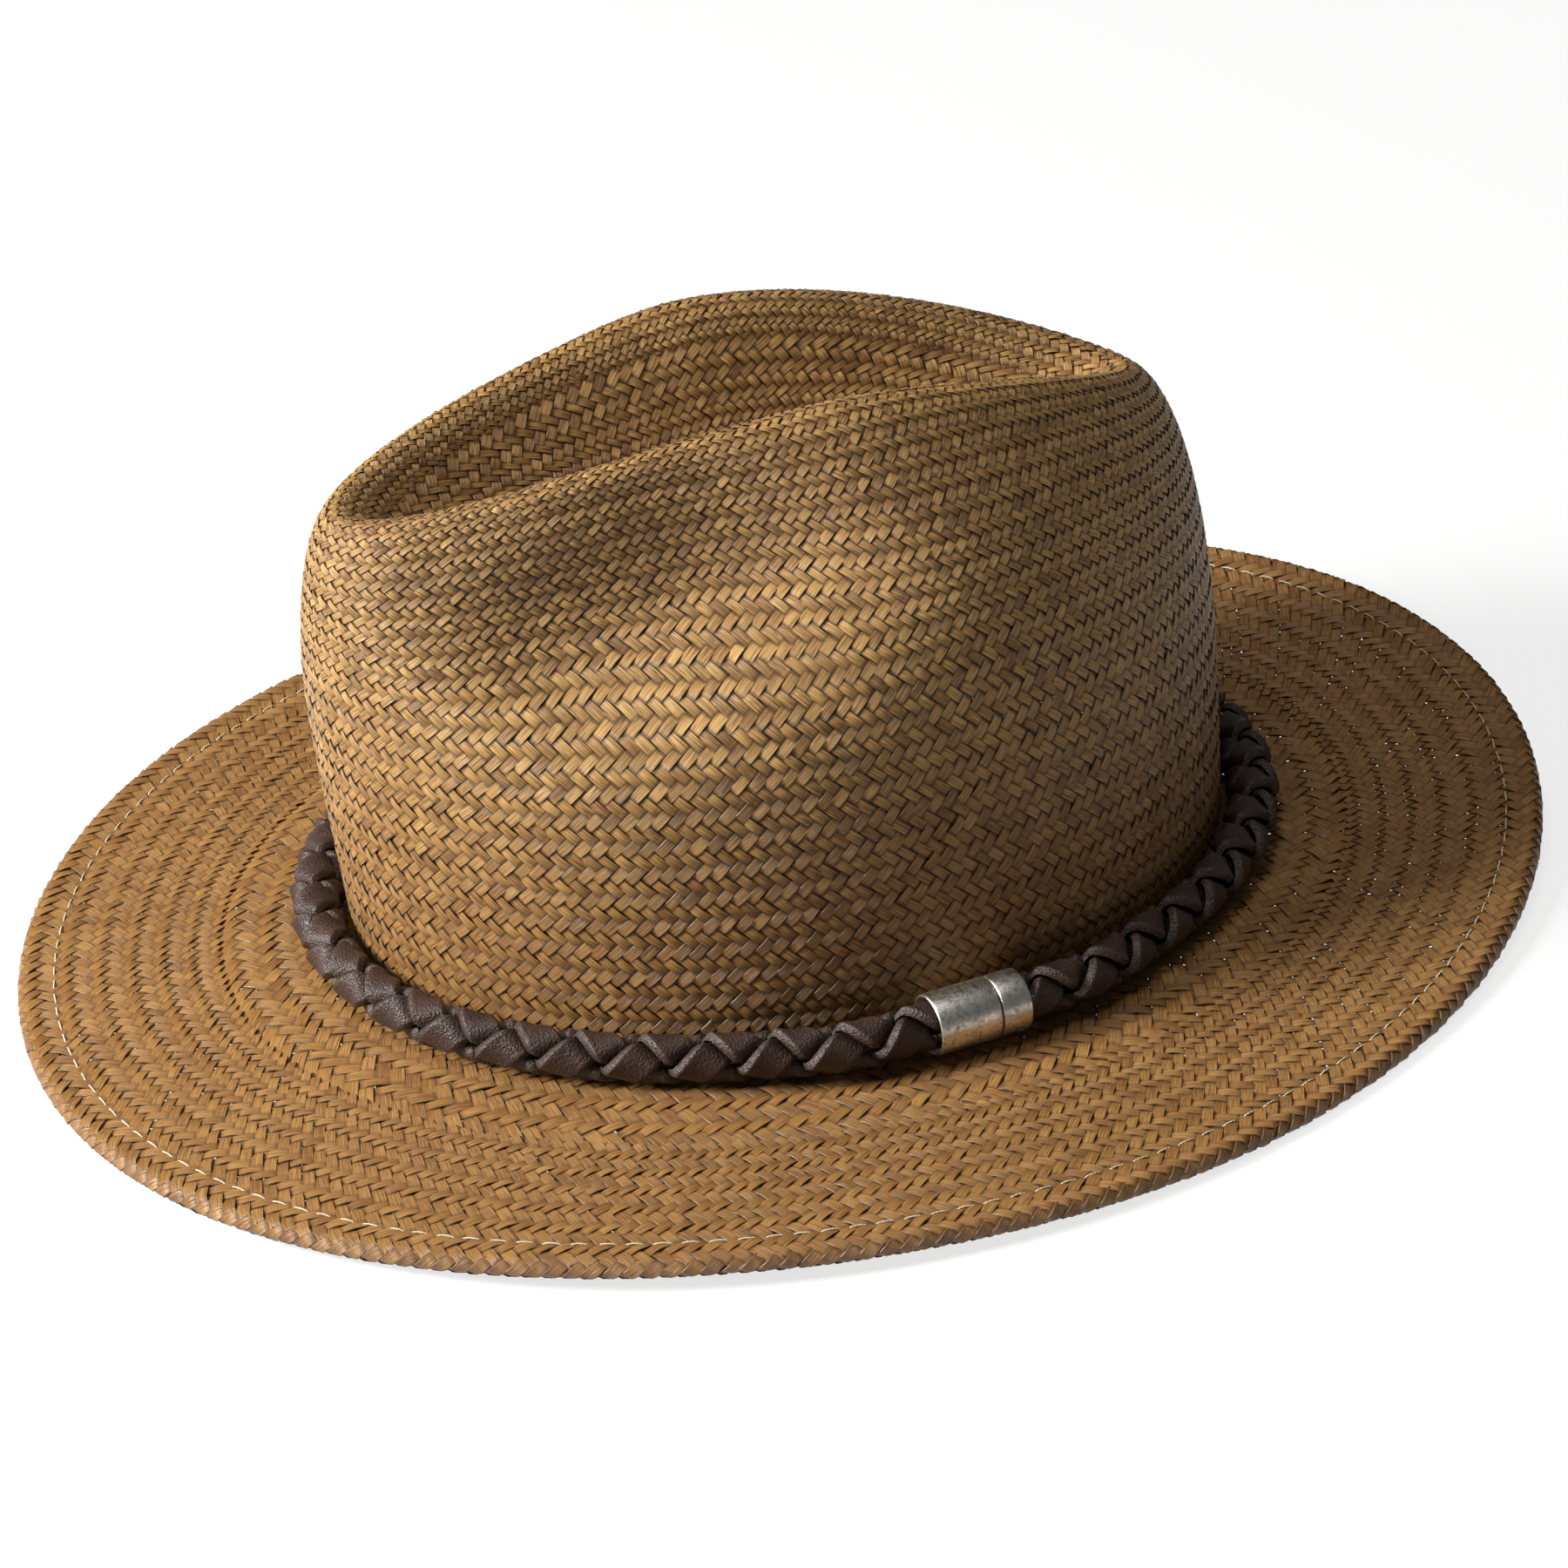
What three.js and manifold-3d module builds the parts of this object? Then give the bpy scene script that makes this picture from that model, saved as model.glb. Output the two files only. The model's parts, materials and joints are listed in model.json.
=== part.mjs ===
// Woven straw hat with a pinched teardrop crown, a turned and stitched brim edge, a leather
// sweatband, and a loose braided leather band closed by a two-part magnetic clasp.
// Millimetres. +Z is up, the front of the hat faces -Y and the wearer's left is +X.

import * as THREE from "three";
import { mergeVertices } from "three/addons/utils/BufferGeometryUtils.js";
import Module from "manifold-3d";

const wasm = await Module();
wasm.setup();

// Shared clearance between pieces that touch or lie on each other.
const contactGap = 0.3;

// Crown
const crownHalfWidth = 83.7;
const crownHalfLength = 103;
const ridgeHeight = 128;
const ridgeFrontDrop = 12;
const ridgeBackDrop = 26;
const pinchDepth = 19.5;
const pinchAhead = 53;
const pinchHeight = 94;
const pinchReachFront = 46;
const pinchReachBack = 51;
const pinchReachDown = 16.7;
const pinchReachUp = 26;
const strawThickness = 1.2;

// Brim
const flareRadius = 4;
const brimHalfWidth = 156.8;
const brimHalfLength = 177;
const brimShiftBack = -1.3;
const brimDish = 1;
const edgeDrop = 1.64;
const edgePitchRise = 6.25;
const edgeSideDrop = 1.45;
const edgeCornerDrop = 2.32;

// Turned edge of the brim, its wire and its stitching
const wireRadius = 0.6;
const hemThickness = 0.8;
const hemLength = 8.5;
const hemKnee = 2.5;
const hemStitchMargin = 2.4;
const threadRadius = 0.2;
const restFlatDepth = 0.5;

// Sweatband
const sweatbandThickness = 1;
const sweatbandHeight = 34;
const sweatbandLift = 0.4;
const sweatbandSeamGap = 1;
const sweatbandStitchRise = 3;
const reedRadius = 1.1;
const bowHalfWidth = 11;
const bowHalfHeight = 4.5;
const bowWaist = 1.4;
const bowThickness = 1.6;
const bowHeight = 9;

// Braided band
const braidRadius = 5.6;
const bandLooseness = 1.5;

// Clasp
const braidFit = 0.6;
const claspWall = 0.6;
const claspWeb = 1.4;
const claspChamfer = 0.3;
const socketCupDepth = 9;
const plugCupDepth = 4.5;
const socketBraidDepth = 6;
const plugBraidDepth = 1.2;
const magnetRadius = 4;
const magnetThickness = 2.2;
const spigotLength = 1.4;
const spigotWall = 0.9;
const claspTurn = THREE.MathUtils.degToRad(-3.5);
const claspStraightShare = 1.5;

// Counts
const aroundCount = 64;
const crownLevelsPerLoop = 2;
const ringSides = 4;
const wireSides = 5;
const reedSides = 6;
const braidSides = 12;
const braidSteps = 80;
const claspSides = 28;
const bowCurveSteps = 5;
const levelSearchSteps = 24;
const bandMeasureSteps = 1000;

const frontAngle = -Math.PI / 2;
const backAngle = Math.PI / 2;
const sideRestAngle = Math.PI / 6;
const turnStep = 0.001;

// Control loops of the crown, from the top of the flare over the ridge and down into the dent.
// width, ahead and behind are shares of the crown's half width and half length, rise is a share
// of the ridge height, front and back are shares of the ridge's drops, and point is the
// power that draws a loop in towards a teardrop.
const crownLoopShares = [
  { width: 1.0, ahead: 1.0, behind: 1.0, rise: 0, front: 0, back: 0, point: 1.0 },
  { width: 1.0, ahead: 1.03, behind: 1.0, rise: 0.226, front: 0, back: 0, point: 1.0 },
  { width: 0.95, ahead: 1.07, behind: 1.0, rise: 0.492, front: 0.08, back: 0.04, point: 1.02 },
  { width: 0.79, ahead: 1.08, behind: 0.98, rise: 0.742, front: 0.25, back: 0.35, point: 1.08 },
  { width: 0.55, ahead: 1.05, behind: 0.94, rise: 0.927, front: 0.67, back: 0.85, point: 1.15 },
  { width: 0.405, ahead: 0.99, behind: 0.875, rise: 1.0, front: 1.0, back: 1.0, point: 1.2 },
  { width: 0.275, ahead: 0.89, behind: 0.75, rise: 0.952, front: 1.15, back: 1.0, point: 1.15 },
  { width: 0.14, ahead: 0.68, behind: 0.48, rise: 0.774, front: 0, back: 0.25, point: 1.0 },
  { width: 0.05, ahead: 0.3, behind: 0.2, rise: 0.742, front: 0, back: 0.1, point: 1.0 },
  { width: 0, ahead: 0.05, behind: -0.05, rise: 0.742, front: 0, back: 0, point: 1.0 },
];
const dropPower = 1.7;
// A pinch rises towards the back by its slant, and leans forward as it rises.
const pinchSlant = 0.32;
const pinchLean = 0.8;
const pinchLongPower = 3;
const pinchFadeLevelShare = 0.66;
const pinchFadeRangeShare = 0.2;
const pinchRootShare = 0.3;
const crownLoopCount = crownLoopShares.length;

// Shares of the brim's reach at which its section has a point.
const brimStationShares = [0.25, 0.5, 0.75];
const brimCurlPower = 1.6;

const beadRadius = wireRadius + contactGap + strawThickness;
const wireHoleRadius = beadRadius - strawThickness;
const cupRadius = braidRadius + braidFit;
const spigotRadius = magnetRadius + contactGap + spigotWall;
const claspRadius = Math.max(cupRadius, spigotRadius + contactGap) + claspWall;
const socketLength = socketCupDepth + claspWeb + magnetThickness + spigotLength + 2 * contactGap;
const plugWeb = magnetThickness + contactGap + claspWeb - spigotLength;
const plugLength = plugCupDepth + plugWeb;
const claspLength = socketLength + contactGap + plugLength;

function vector(x, y, z) {
  return new THREE.Vector3(x, y, z);
}

function clampShare(value) {
  return THREE.MathUtils.clamp(value, 0, 1);
}

// The angles of a closed ring, with one point exactly at each side, the front and the back.
function ringAngles(count) {
  return Array.from({ length: count }, (_, i) => (2 * Math.PI * i) / count);
}

// Turns a list of points and triangles into a closed body whose faces point out.
function bodyFrom(points, triangles) {
  let volume = 0;
  for (const [a, b, c] of triangles) {
    volume += points[a].dot(points[b].clone().cross(points[c]));
  }
  const index = triangles.flatMap(([a, b, c]) => (volume < 0 ? [a, c, b] : [a, b, c]));
  const geometry = new THREE.BufferGeometry();
  const positions = points.flatMap((point) => [point.x, point.y, point.z]);
  geometry.setAttribute("position", new THREE.Float32BufferAttribute(positions, 3));
  geometry.setIndex(index);
  return geometry;
}

// Joins sections of equal point count into a body. A closed loft runs back to its first
// section, and an open one is capped at both ends.
function loft(sections, closed) {
  const size = sections[0].length;
  const points = sections.flat();
  const triangles = [];
  const spans = closed ? sections.length : sections.length - 1;
  for (let i = 0; i < spans; i += 1) {
    const here = i * size;
    const next = ((i + 1) % sections.length) * size;
    for (let j = 0; j < size; j += 1) {
      const k = (j + 1) % size;
      triangles.push([here + j, next + j, next + k], [here + j, next + k, here + k]);
    }
  }
  if (!closed) {
    const last = (sections.length - 1) * size;
    for (const [a, b, c] of capTriangles(size)) {
      triangles.push([a, b, c], [last + a, last + c, last + b]);
    }
  }
  return bodyFrom(points, triangles);
}

// Triangles that close a flat section whose points run up one face and down the other.
function capTriangles(size) {
  const triangles = [];
  for (let low = 0; low < size / 2 - 1; low += 1) {
    const high = size - 1 - low;
    triangles.push([low, low + 1, high], [low + 1, high - 1, high]);
  }
  return triangles;
}

// A round section of a cord, square to the way that the cord runs.
function cordSection(centre, along, radius, sides) {
  const side = along.clone().cross(vector(0, 0, 1)).normalize();
  const up = side.clone().cross(along);
  return Array.from({ length: sides }, (_, k) => {
    const turn = (2 * Math.PI * (k + 1 / 2)) / sides;
    const offset = side.clone().multiplyScalar(radius * Math.cos(turn));
    return centre.clone().add(offset).addScaledVector(up, radius * Math.sin(turn));
  });
}

// A closed cord of round section that follows points around the hat.
function ringCord(centres, radius, sides) {
  const count = centres.length;
  const sections = centres.map((centre, i) => {
    const before = centres[(i + count - 1) % count];
    const after = centres[(i + 1) % count];
    const along = after.clone().sub(before).normalize();
    return cordSection(centre, along, radius, sides);
  });
  return loft(sections, true);
}

// Crown surface

function crownLoopPoint(shares, angle) {
  const across = Math.cos(angle);
  const along = Math.sin(angle);
  const ahead = shares.ahead * crownHalfLength;
  const behind = shares.behind * crownHalfLength;
  const x = shares.width * crownHalfWidth * Math.sign(across) * Math.abs(across) ** shares.point;
  const y = (behind - ahead) / 2 + ((behind + ahead) / 2) * along;
  const frontDrop = shares.front * ridgeFrontDrop * clampShare(-along) ** dropPower;
  const backDrop = shares.back * ridgeBackDrop * clampShare(along) ** dropPower;
  const height = THREE.MathUtils.lerp(flareRadius, ridgeHeight, shares.rise);
  return vector(x, y, height - frontDrop - backDrop);
}

// A smooth curve through the control loops: level 0 is the top of the flare, 1 the dent's middle.
function crownPoint(angle, level) {
  const place = clampShare(level) * (crownLoopCount - 1);
  const start = Math.min(Math.floor(place), crownLoopCount - 2);
  const u = place - start;
  const control = (i) => {
    const inside = THREE.MathUtils.clamp(i, 0, crownLoopCount - 1);
    const point = crownLoopPoint(crownLoopShares[inside], angle);
    if (i === inside) {
      return point;
    }
    const inner = crownLoopPoint(crownLoopShares[2 * inside - i], angle);
    return point.multiplyScalar(2).sub(inner);
  };
  const weights = [
    (1 - u) ** 3 / 6,
    (3 * u ** 3 - 6 * u ** 2 + 4) / 6,
    (-3 * u ** 3 + 3 * u ** 2 + 3 * u + 1) / 6,
    u ** 3 / 6,
  ];
  const point = vector(0, 0, 0);
  weights.forEach((weight, i) => point.addScaledVector(control(start + i - 1), weight));
  return pinched(point, level);
}

// The two hollows that fingers press into the front of the crown.
function pinched(point, level) {
  const behind = point.y + pinchAhead;
  const above = point.z - pinchHeight;
  const long = behind + pinchLean * above;
  const high = above - pinchSlant * behind;
  const longShare = Math.abs(long) / (long < 0 ? pinchReachFront : pinchReachBack);
  const highShare = high / (high < 0 ? pinchReachDown : pinchReachUp);
  const fade = clampShare((pinchFadeLevelShare - level) / pinchFadeRangeShare);
  const root = clampShare(Math.abs(point.x) / (pinchRootShare * crownHalfWidth));
  const hollow = Math.exp(-(longShare ** pinchLongPower) - highShare ** 2);
  point.x -= Math.sign(point.x) * pinchDepth * hollow * fade * root;
  return point;
}

function crownNormal(angle, level) {
  const before = crownPoint(angle - turnStep, level);
  const around = crownPoint(angle + turnStep, level).sub(before);
  const below = crownPoint(angle, Math.max(level - turnStep, 0));
  const up = crownPoint(angle, level + turnStep).sub(below);
  return around.cross(up).normalize();
}

function crownInside(angle, level, depth) {
  return crownPoint(angle, level).addScaledVector(crownNormal(angle, level), -depth);
}

// The level at which the crown's wall passes a height, for heights in the lower wall.
function crownLevelAt(angle, height) {
  let low = 0;
  let high = 1 / 2;
  for (let i = 0; i < levelSearchSteps; i += 1) {
    const middle = (low + high) / 2;
    if (crownPoint(angle, middle).z < height) {
      low = middle;
    } else {
      high = middle;
    }
  }
  return (low + high) / 2;
}

function crownGeometry() {
  const angles = ringAngles(aroundCount);
  const rows = (crownLoopCount - 1) * crownLevelsPerLoop;
  const rings = [];
  for (let i = 0; i < rows; i += 1) {
    rings.push(angles.map((angle) => crownPoint(angle, i / rows)));
  }
  const innerRings = [];
  for (let i = 0; i < rows; i += 1) {
    innerRings.unshift(angles.map((angle) => crownInside(angle, i / rows, strawThickness)));
  }
  const outerTip = crownPoint(0, 1);
  const innerTip = outerTip.clone().setZ(outerTip.z - strawThickness);
  return shellFrom(rings, outerTip, innerRings, innerTip);
}

// A thin cup: outer rings run up to the outer tip, inner rings run down from the inner tip.
function shellFrom(outerRings, outerTip, innerRings, innerTip) {
  const size = outerRings[0].length;
  const points = [...outerRings.flat(), ...innerRings.flat(), outerTip, innerTip];
  const tipOut = points.length - 2;
  const tipIn = points.length - 1;
  const rowsOut = outerRings.length;
  const rowsAll = rowsOut + innerRings.length;
  const triangles = [];
  const addBand = (lower, upper) => {
    for (let j = 0; j < size; j += 1) {
      const k = (j + 1) % size;
      triangles.push([lower * size + j, lower * size + k, upper * size + k]);
      triangles.push([lower * size + j, upper * size + k, upper * size + j]);
    }
  };
  for (let i = 0; i < rowsAll - 1; i += 1) {
    if (i !== rowsOut - 1) {
      addBand(i, i + 1);
    }
  }
  addBand(rowsAll - 1, 0);
  for (let j = 0; j < size; j += 1) {
    const k = (j + 1) % size;
    const outer = (rowsOut - 1) * size;
    const inner = rowsOut * size;
    triangles.push([outer + j, outer + k, tipOut]);
    triangles.push([inner + k, inner + j, tipIn]);
  }
  return bodyFrom(points, triangles);
}

// Brim surface

function ovalPoint(angle) {
  return vector(crownHalfWidth * Math.cos(angle), crownHalfLength * Math.sin(angle), 0);
}

function edgePoint(angle) {
  const pitch = edgePitchRise * Math.sin(angle);
  const sides = edgeSideDrop * Math.cos(2 * angle);
  const corners = edgeCornerDrop * Math.sin(3 * angle);
  return vector(
    brimHalfWidth * Math.cos(angle),
    brimHalfLength * Math.sin(angle) + brimShiftBack,
    pitch - edgeDrop - sides - corners,
  );
}

// How the brim lies at one angle: the way out from the crown, and where its bead is.
function brimRay(angle) {
  const start = ovalPoint(angle);
  const edge = edgePoint(angle);
  const out = edge.clone().sub(start).setZ(0);
  const beadReach = out.length() - beadRadius;
  out.normalize();
  const at = (reach, height) => start.clone().addScaledVector(out, reach).setZ(height);
  return { at, beadReach, beadHeight: edge.z };
}

function brimTop(ray, share) {
  const rise = (ray.beadHeight + beadRadius) * share ** brimCurlPower;
  return rise - 4 * brimDish * share * (1 - share);
}

// The upper face of the brim between the section's points, at a reach from the crown.
function brimTopAtReach(ray, reach) {
  const share = (reach - flareRadius) / (ray.beadReach - flareRadius);
  const stations = [0, ...brimStationShares, 1];
  const next = Math.max(1, stations.findIndex((station) => station >= share));
  const low = stations[next - 1];
  const high = stations[next];
  const mix = (share - low) / (high - low);
  return THREE.MathUtils.lerp(brimTop(ray, low), brimTop(ray, high), mix);
}

function flarePoint(ray, radius, turn) {
  const reach = flareRadius - radius * Math.cos(turn);
  const height = flareRadius - radius * Math.sin(turn);
  return ray.at(reach, height);
}

function brimSection(angle) {
  const ray = brimRay(angle);
  const reachAt = (share) => THREE.MathUtils.lerp(flareRadius, ray.beadReach, share);
  const innerRadius = flareRadius + strawThickness;
  const hemEnd = ray.beadReach - hemLength;
  const kneeReach = ray.beadReach - hemKnee;
  const underside = (reach) => brimTopAtReach(ray, reach) - strawThickness;
  const hemTop = (reach) => underside(reach) - contactGap;
  const beadAt = (radius, turn) => {
    const reach = ray.beadReach + radius * Math.cos(turn);
    return ray.at(reach, ray.beadHeight + radius * Math.sin(turn));
  };
  const points = [
    ray.at(-strawThickness, flareRadius - contactGap),
    ray.at(0, flareRadius - contactGap),
    flarePoint(ray, flareRadius, Math.PI / 4),
    ray.at(flareRadius, 0),
  ];
  for (const share of brimStationShares) {
    points.push(ray.at(reachAt(share), brimTop(ray, share)));
  }
  for (const turn of [2, 1, 0, -1, -2]) {
    points.push(beadAt(beadRadius, (turn * Math.PI) / 4));
  }
  points.push(
    ray.at(kneeReach, hemTop(kneeReach) - hemThickness),
    ray.at(hemEnd, hemTop(hemEnd) - hemThickness),
    ray.at(hemEnd, hemTop(hemEnd)),
    ray.at(kneeReach, hemTop(kneeReach)),
  );
  for (const turn of [-1, 0, 1]) {
    points.push(beadAt(wireHoleRadius, (turn * Math.PI) / 2));
  }
  for (const share of [...brimStationShares].reverse()) {
    points.push(ray.at(reachAt(share), brimTop(ray, share) - strawThickness));
  }
  points.push(ray.at(flareRadius, -strawThickness), flarePoint(ray, innerRadius, Math.PI / 4));
  return points;
}

// The hat stands on the front of its brim and on two places behind its middle, so its own
// frame is pitched until these are level.
function standingTilt() {
  const front = edgePoint(frontAngle);
  const side = edgePoint(sideRestAngle);
  return -Math.atan2(side.z - front.z, side.y - front.y);
}

function toManifold(geometry) {
  const bare = geometry.clone();
  bare.deleteAttribute("normal");
  bare.deleteAttribute("uv");
  const merged = mergeVertices(bare);
  const vertProperties = new Float32Array(merged.attributes.position.array);
  const triVerts = new Uint32Array(merged.index.array);
  return new wasm.Manifold(new wasm.Mesh({ numProp: 3, vertProperties, triVerts }));
}

function fromManifold(solid) {
  const mesh = solid.getMesh();
  const geometry = new THREE.BufferGeometry();
  geometry.setAttribute("position", new THREE.Float32BufferAttribute(mesh.vertProperties, 3));
  geometry.setIndex(Array.from(mesh.triVerts));
  return geometry;
}

// The brim with the lowest stretches of its bead cut flat, where the hat stands.
function brimGeometry() {
  const whole = loft(ringAngles(aroundCount).map(brimSection), true);
  const tilt = standingTilt();
  whole.rotateX(tilt);
  whole.computeBoundingBox();
  const lowest = whole.boundingBox.min.z;
  const width = 3 * brimHalfWidth;
  const length = 3 * brimHalfLength;
  const cutter = new THREE.BoxGeometry(width, length, 2 * beadRadius);
  cutter.translate(0, 0, lowest + restFlatDepth - beadRadius);
  const cut = fromManifold(toManifold(whole).subtract(toManifold(cutter)));
  return cut.rotateX(-tilt);
}

function wireGeometry() {
  const centres = ringAngles(aroundCount).map((angle) => {
    const ray = brimRay(angle);
    return ray.at(ray.beadReach, ray.beadHeight);
  });
  return ringCord(centres, wireRadius, wireSides);
}

function needleThreadGeometry() {
  const centres = ringAngles(aroundCount).map((angle) => {
    const ray = brimRay(angle);
    const reach = ray.beadReach - hemLength + hemStitchMargin;
    return ray.at(reach, brimTopAtReach(ray, reach) + contactGap + threadRadius);
  });
  return ringCord(centres, threadRadius, ringSides);
}

function bobbinThreadGeometry() {
  const layers = strawThickness + contactGap + hemThickness;
  const centres = ringAngles(aroundCount).map((angle) => {
    const ray = brimRay(angle);
    const reach = ray.beadReach - hemLength + hemStitchMargin;
    return ray.at(reach, brimTopAtReach(ray, reach) - layers - contactGap - threadRadius);
  });
  return ringCord(centres, threadRadius, ringSides);
}

// Sweatband

// A point inside the crown at a height, a set depth in from the crown's outer face.
function innerWallPoint(angle, height, depth) {
  const wallHeight = Math.max(height, flareRadius);
  const level = crownLevelAt(angle, wallHeight);
  return crownInside(angle, level, depth).setZ(height);
}

function sweatbandGeometry() {
  const outer = strawThickness + contactGap;
  const inner = outer + sweatbandThickness;
  const top = sweatbandLift + sweatbandHeight;
  const heights = [sweatbandLift, flareRadius, (flareRadius + top) / 2, top];
  const seamAngle = sweatbandSeamGap / 2 / crownHalfWidth;
  const turns = ringAngles(aroundCount);
  turns[0] = seamAngle;
  turns.push(2 * Math.PI - seamAngle);
  const sections = turns.map((turn) => {
    const angle = backAngle + turn;
    const outerFace = heights.map((height) => innerWallPoint(angle, height, outer));
    const innerFace = heights.map((height) => innerWallPoint(angle, height, inner));
    return [...outerFace, ...innerFace.reverse()];
  });
  return loft(sections, false);
}

// The reed lies in the corner under the sweatband's edge, against the inside of the flare.
function reedGeometry() {
  const radius = flareRadius + strawThickness + contactGap + reedRadius;
  const centres = ringAngles(aroundCount).map((angle) => {
    return flarePoint(brimRay(angle), radius, Math.PI / 4);
  });
  return ringCord(centres, reedRadius, reedSides);
}

function sweatbandThreadGeometry() {
  const depth = strawThickness + sweatbandThickness + 2 * contactGap + threadRadius;
  const height = sweatbandLift + sweatbandStitchRise;
  const centres = ringAngles(aroundCount).map((angle) => innerWallPoint(angle, height, depth));
  return ringCord(centres, threadRadius, ringSides);
}

// A flat ribbon bow, drawn face on: two loops that narrow to the knot.
function bowGeometry() {
  const outline = new THREE.Shape();
  outline.moveTo(0, bowWaist);
  outline.quadraticCurveTo(bowHalfWidth / 2, bowHalfHeight, bowHalfWidth, bowHalfHeight);
  outline.lineTo(bowHalfWidth, -bowHalfHeight);
  outline.quadraticCurveTo(bowHalfWidth / 2, -bowHalfHeight, 0, -bowWaist);
  outline.quadraticCurveTo(-bowHalfWidth / 2, -bowHalfHeight, -bowHalfWidth, -bowHalfHeight);
  outline.lineTo(-bowHalfWidth, bowHalfHeight);
  outline.quadraticCurveTo(-bowHalfWidth / 2, bowHalfHeight, 0, bowWaist);
  return new THREE.ExtrudeGeometry(outline, {
    depth: bowThickness,
    bevelEnabled: false,
    curveSegments: bowCurveSteps,
  });
}

// Band and clasp

// The oval that a cord of some radius follows when it lies loosely round the crown.
function looseOval(angle, radius) {
  const across = Math.cos(angle) / crownHalfWidth;
  const along = Math.sin(angle) / crownHalfLength;
  const normal = vector(across, along, 0).normalize();
  return ovalPoint(angle).addScaledVector(normal, radius + bandLooseness);
}

// The centre line of the braid. It runs straight through the clasp, and a little further out
// and higher there, because the clasp is thicker than the braid.
function bandPoint(angle) {
  const straightReach = (claspStraightShare * claspLength) / crownHalfLength;
  const away = 2 * Math.sin((angle - claspTurn) / 2);
  const near = Math.exp(-((away / straightReach) ** 4));
  const middle = looseOval(claspTurn, claspRadius);
  const ahead = looseOval(claspTurn + turnStep, claspRadius).sub(middle);
  const straight = middle.addScaledVector(ahead, Math.sin(angle - claspTurn) / turnStep);
  const radius = THREE.MathUtils.lerp(braidRadius, claspRadius, near);
  const point = looseOval(angle, braidRadius).lerp(straight, near);
  const highestBrim = Math.max(0, brimTopAtReach(brimRay(angle), 2 * radius + bandLooseness));
  return point.setZ(highestBrim + radius + contactGap);
}

// The band's centre line as a closed curve whose start is the middle of the clasp.
function bandCurve() {
  const angles = ringAngles(2 * aroundCount);
  return new THREE.CatmullRomCurve3(
    angles.map((angle) => bandPoint(claspTurn + angle)),
    true,
  );
}

const band = bandCurve();
band.arcLengthDivisions = bandMeasureSteps;
const bandLength = band.getLength();
const claspMiddle = band.getPointAt(0);
const claspAlong = band.getTangentAt(0);

// Where a stretch of the clasp's axis lies, measured from the clasp's middle towards the plug.
const socketMouth = -claspLength / 2;
const partingPlane = socketMouth + socketLength;
const plugMouth = claspLength / 2;

function braidGeometry() {
  const start = plugMouth - plugBraidDepth;
  const end = bandLength + socketMouth + socketBraidDepth;
  const sections = Array.from({ length: braidSteps + 1 }, (_, i) => {
    const share = THREE.MathUtils.lerp(start, end, i / braidSteps) / bandLength;
    return cordSection(band.getPointAt(share), band.getTangentAt(share), braidRadius, braidSides);
  });
  return loft(sections, false);
}

function socketGeometry() {
  const recess = spigotRadius + contactGap;
  const spigotFloor = socketLength - spigotLength - contactGap;
  const magnetFloor = socketCupDepth + claspWeb;
  const profile = [
    [0, socketCupDepth],
    [cupRadius, socketCupDepth],
    [cupRadius, 0],
    [claspRadius - claspChamfer, 0],
    [claspRadius, claspChamfer],
    [claspRadius, socketLength - claspChamfer],
    [claspRadius - claspChamfer, socketLength],
    [recess, socketLength],
    [recess, spigotFloor],
    [magnetRadius + contactGap, spigotFloor],
    [magnetRadius + contactGap, magnetFloor],
    [0, magnetFloor],
  ];
  return latheFrom(profile);
}

function plugGeometry() {
  const magnetFloor = magnetThickness + contactGap - spigotLength;
  const profile = [
    [0, magnetFloor],
    [magnetRadius + contactGap, magnetFloor],
    [magnetRadius + contactGap, -spigotLength],
    [spigotRadius, -spigotLength],
    [spigotRadius, 0],
    [claspRadius - claspChamfer, 0],
    [claspRadius, claspChamfer],
    [claspRadius, plugLength - claspChamfer],
    [claspRadius - claspChamfer, plugLength],
    [cupRadius, plugLength],
    [cupRadius, plugWeb],
    [0, plugWeb],
  ];
  return latheFrom(profile);
}

function latheFrom(profile) {
  const points = profile.map(([radius, height]) => new THREE.Vector2(radius, height));
  return bodyOut(new THREE.LatheGeometry(points, claspSides));
}

// A turned body with its doubled points merged and its faces pointing out.
function bodyOut(geometry) {
  const bare = geometry.clone();
  bare.deleteAttribute("normal");
  bare.deleteAttribute("uv");
  const merged = mergeVertices(bare);
  const place = merged.attributes.position;
  const points = Array.from({ length: place.count }, (_, i) => {
    return vector(place.getX(i), place.getY(i), place.getZ(i));
  });
  const triangles = [];
  for (let i = 0; i < merged.index.count; i += 3) {
    const corners = [0, 1, 2].map((k) => merged.index.getX(i + k));
    if (new Set(corners).size === 3) {
      triangles.push(corners);
    }
  }
  return bodyFrom(points, triangles);
}

function magnetGeometry() {
  return new THREE.CylinderGeometry(magnetRadius, magnetRadius, magnetThickness, claspSides);
}

// Materials

function material(color, roughness, metalness) {
  return new THREE.MeshStandardMaterial({ color, roughness, metalness });
}

const wovenStraw = material("#a67c47", 0.6, 0);
const sewingThread = material("#e6dcc4", 0.8, 0);
const springWire = material("#8b8d8e", 0.4, 1);
const braidLeather = material("#3f2d29", 0.5, 0);
const sweatbandLeather = material("#5b3f2a", 0.6, 0);
const reedPlastic = material("#cdbf9f", 0.5, 0);
const bowRibbon = material("#3b2a22", 0.7, 0);
const antiqueSilver = material("#b7b1a4", 0.35, 1);
const magnetNickel = material("#9c9c9a", 0.3, 1);

function mesh(name, geometry, finish) {
  const piece = new THREE.Mesh(geometry, finish);
  piece.name = name;
  return piece;
}

// Assembly

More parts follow.
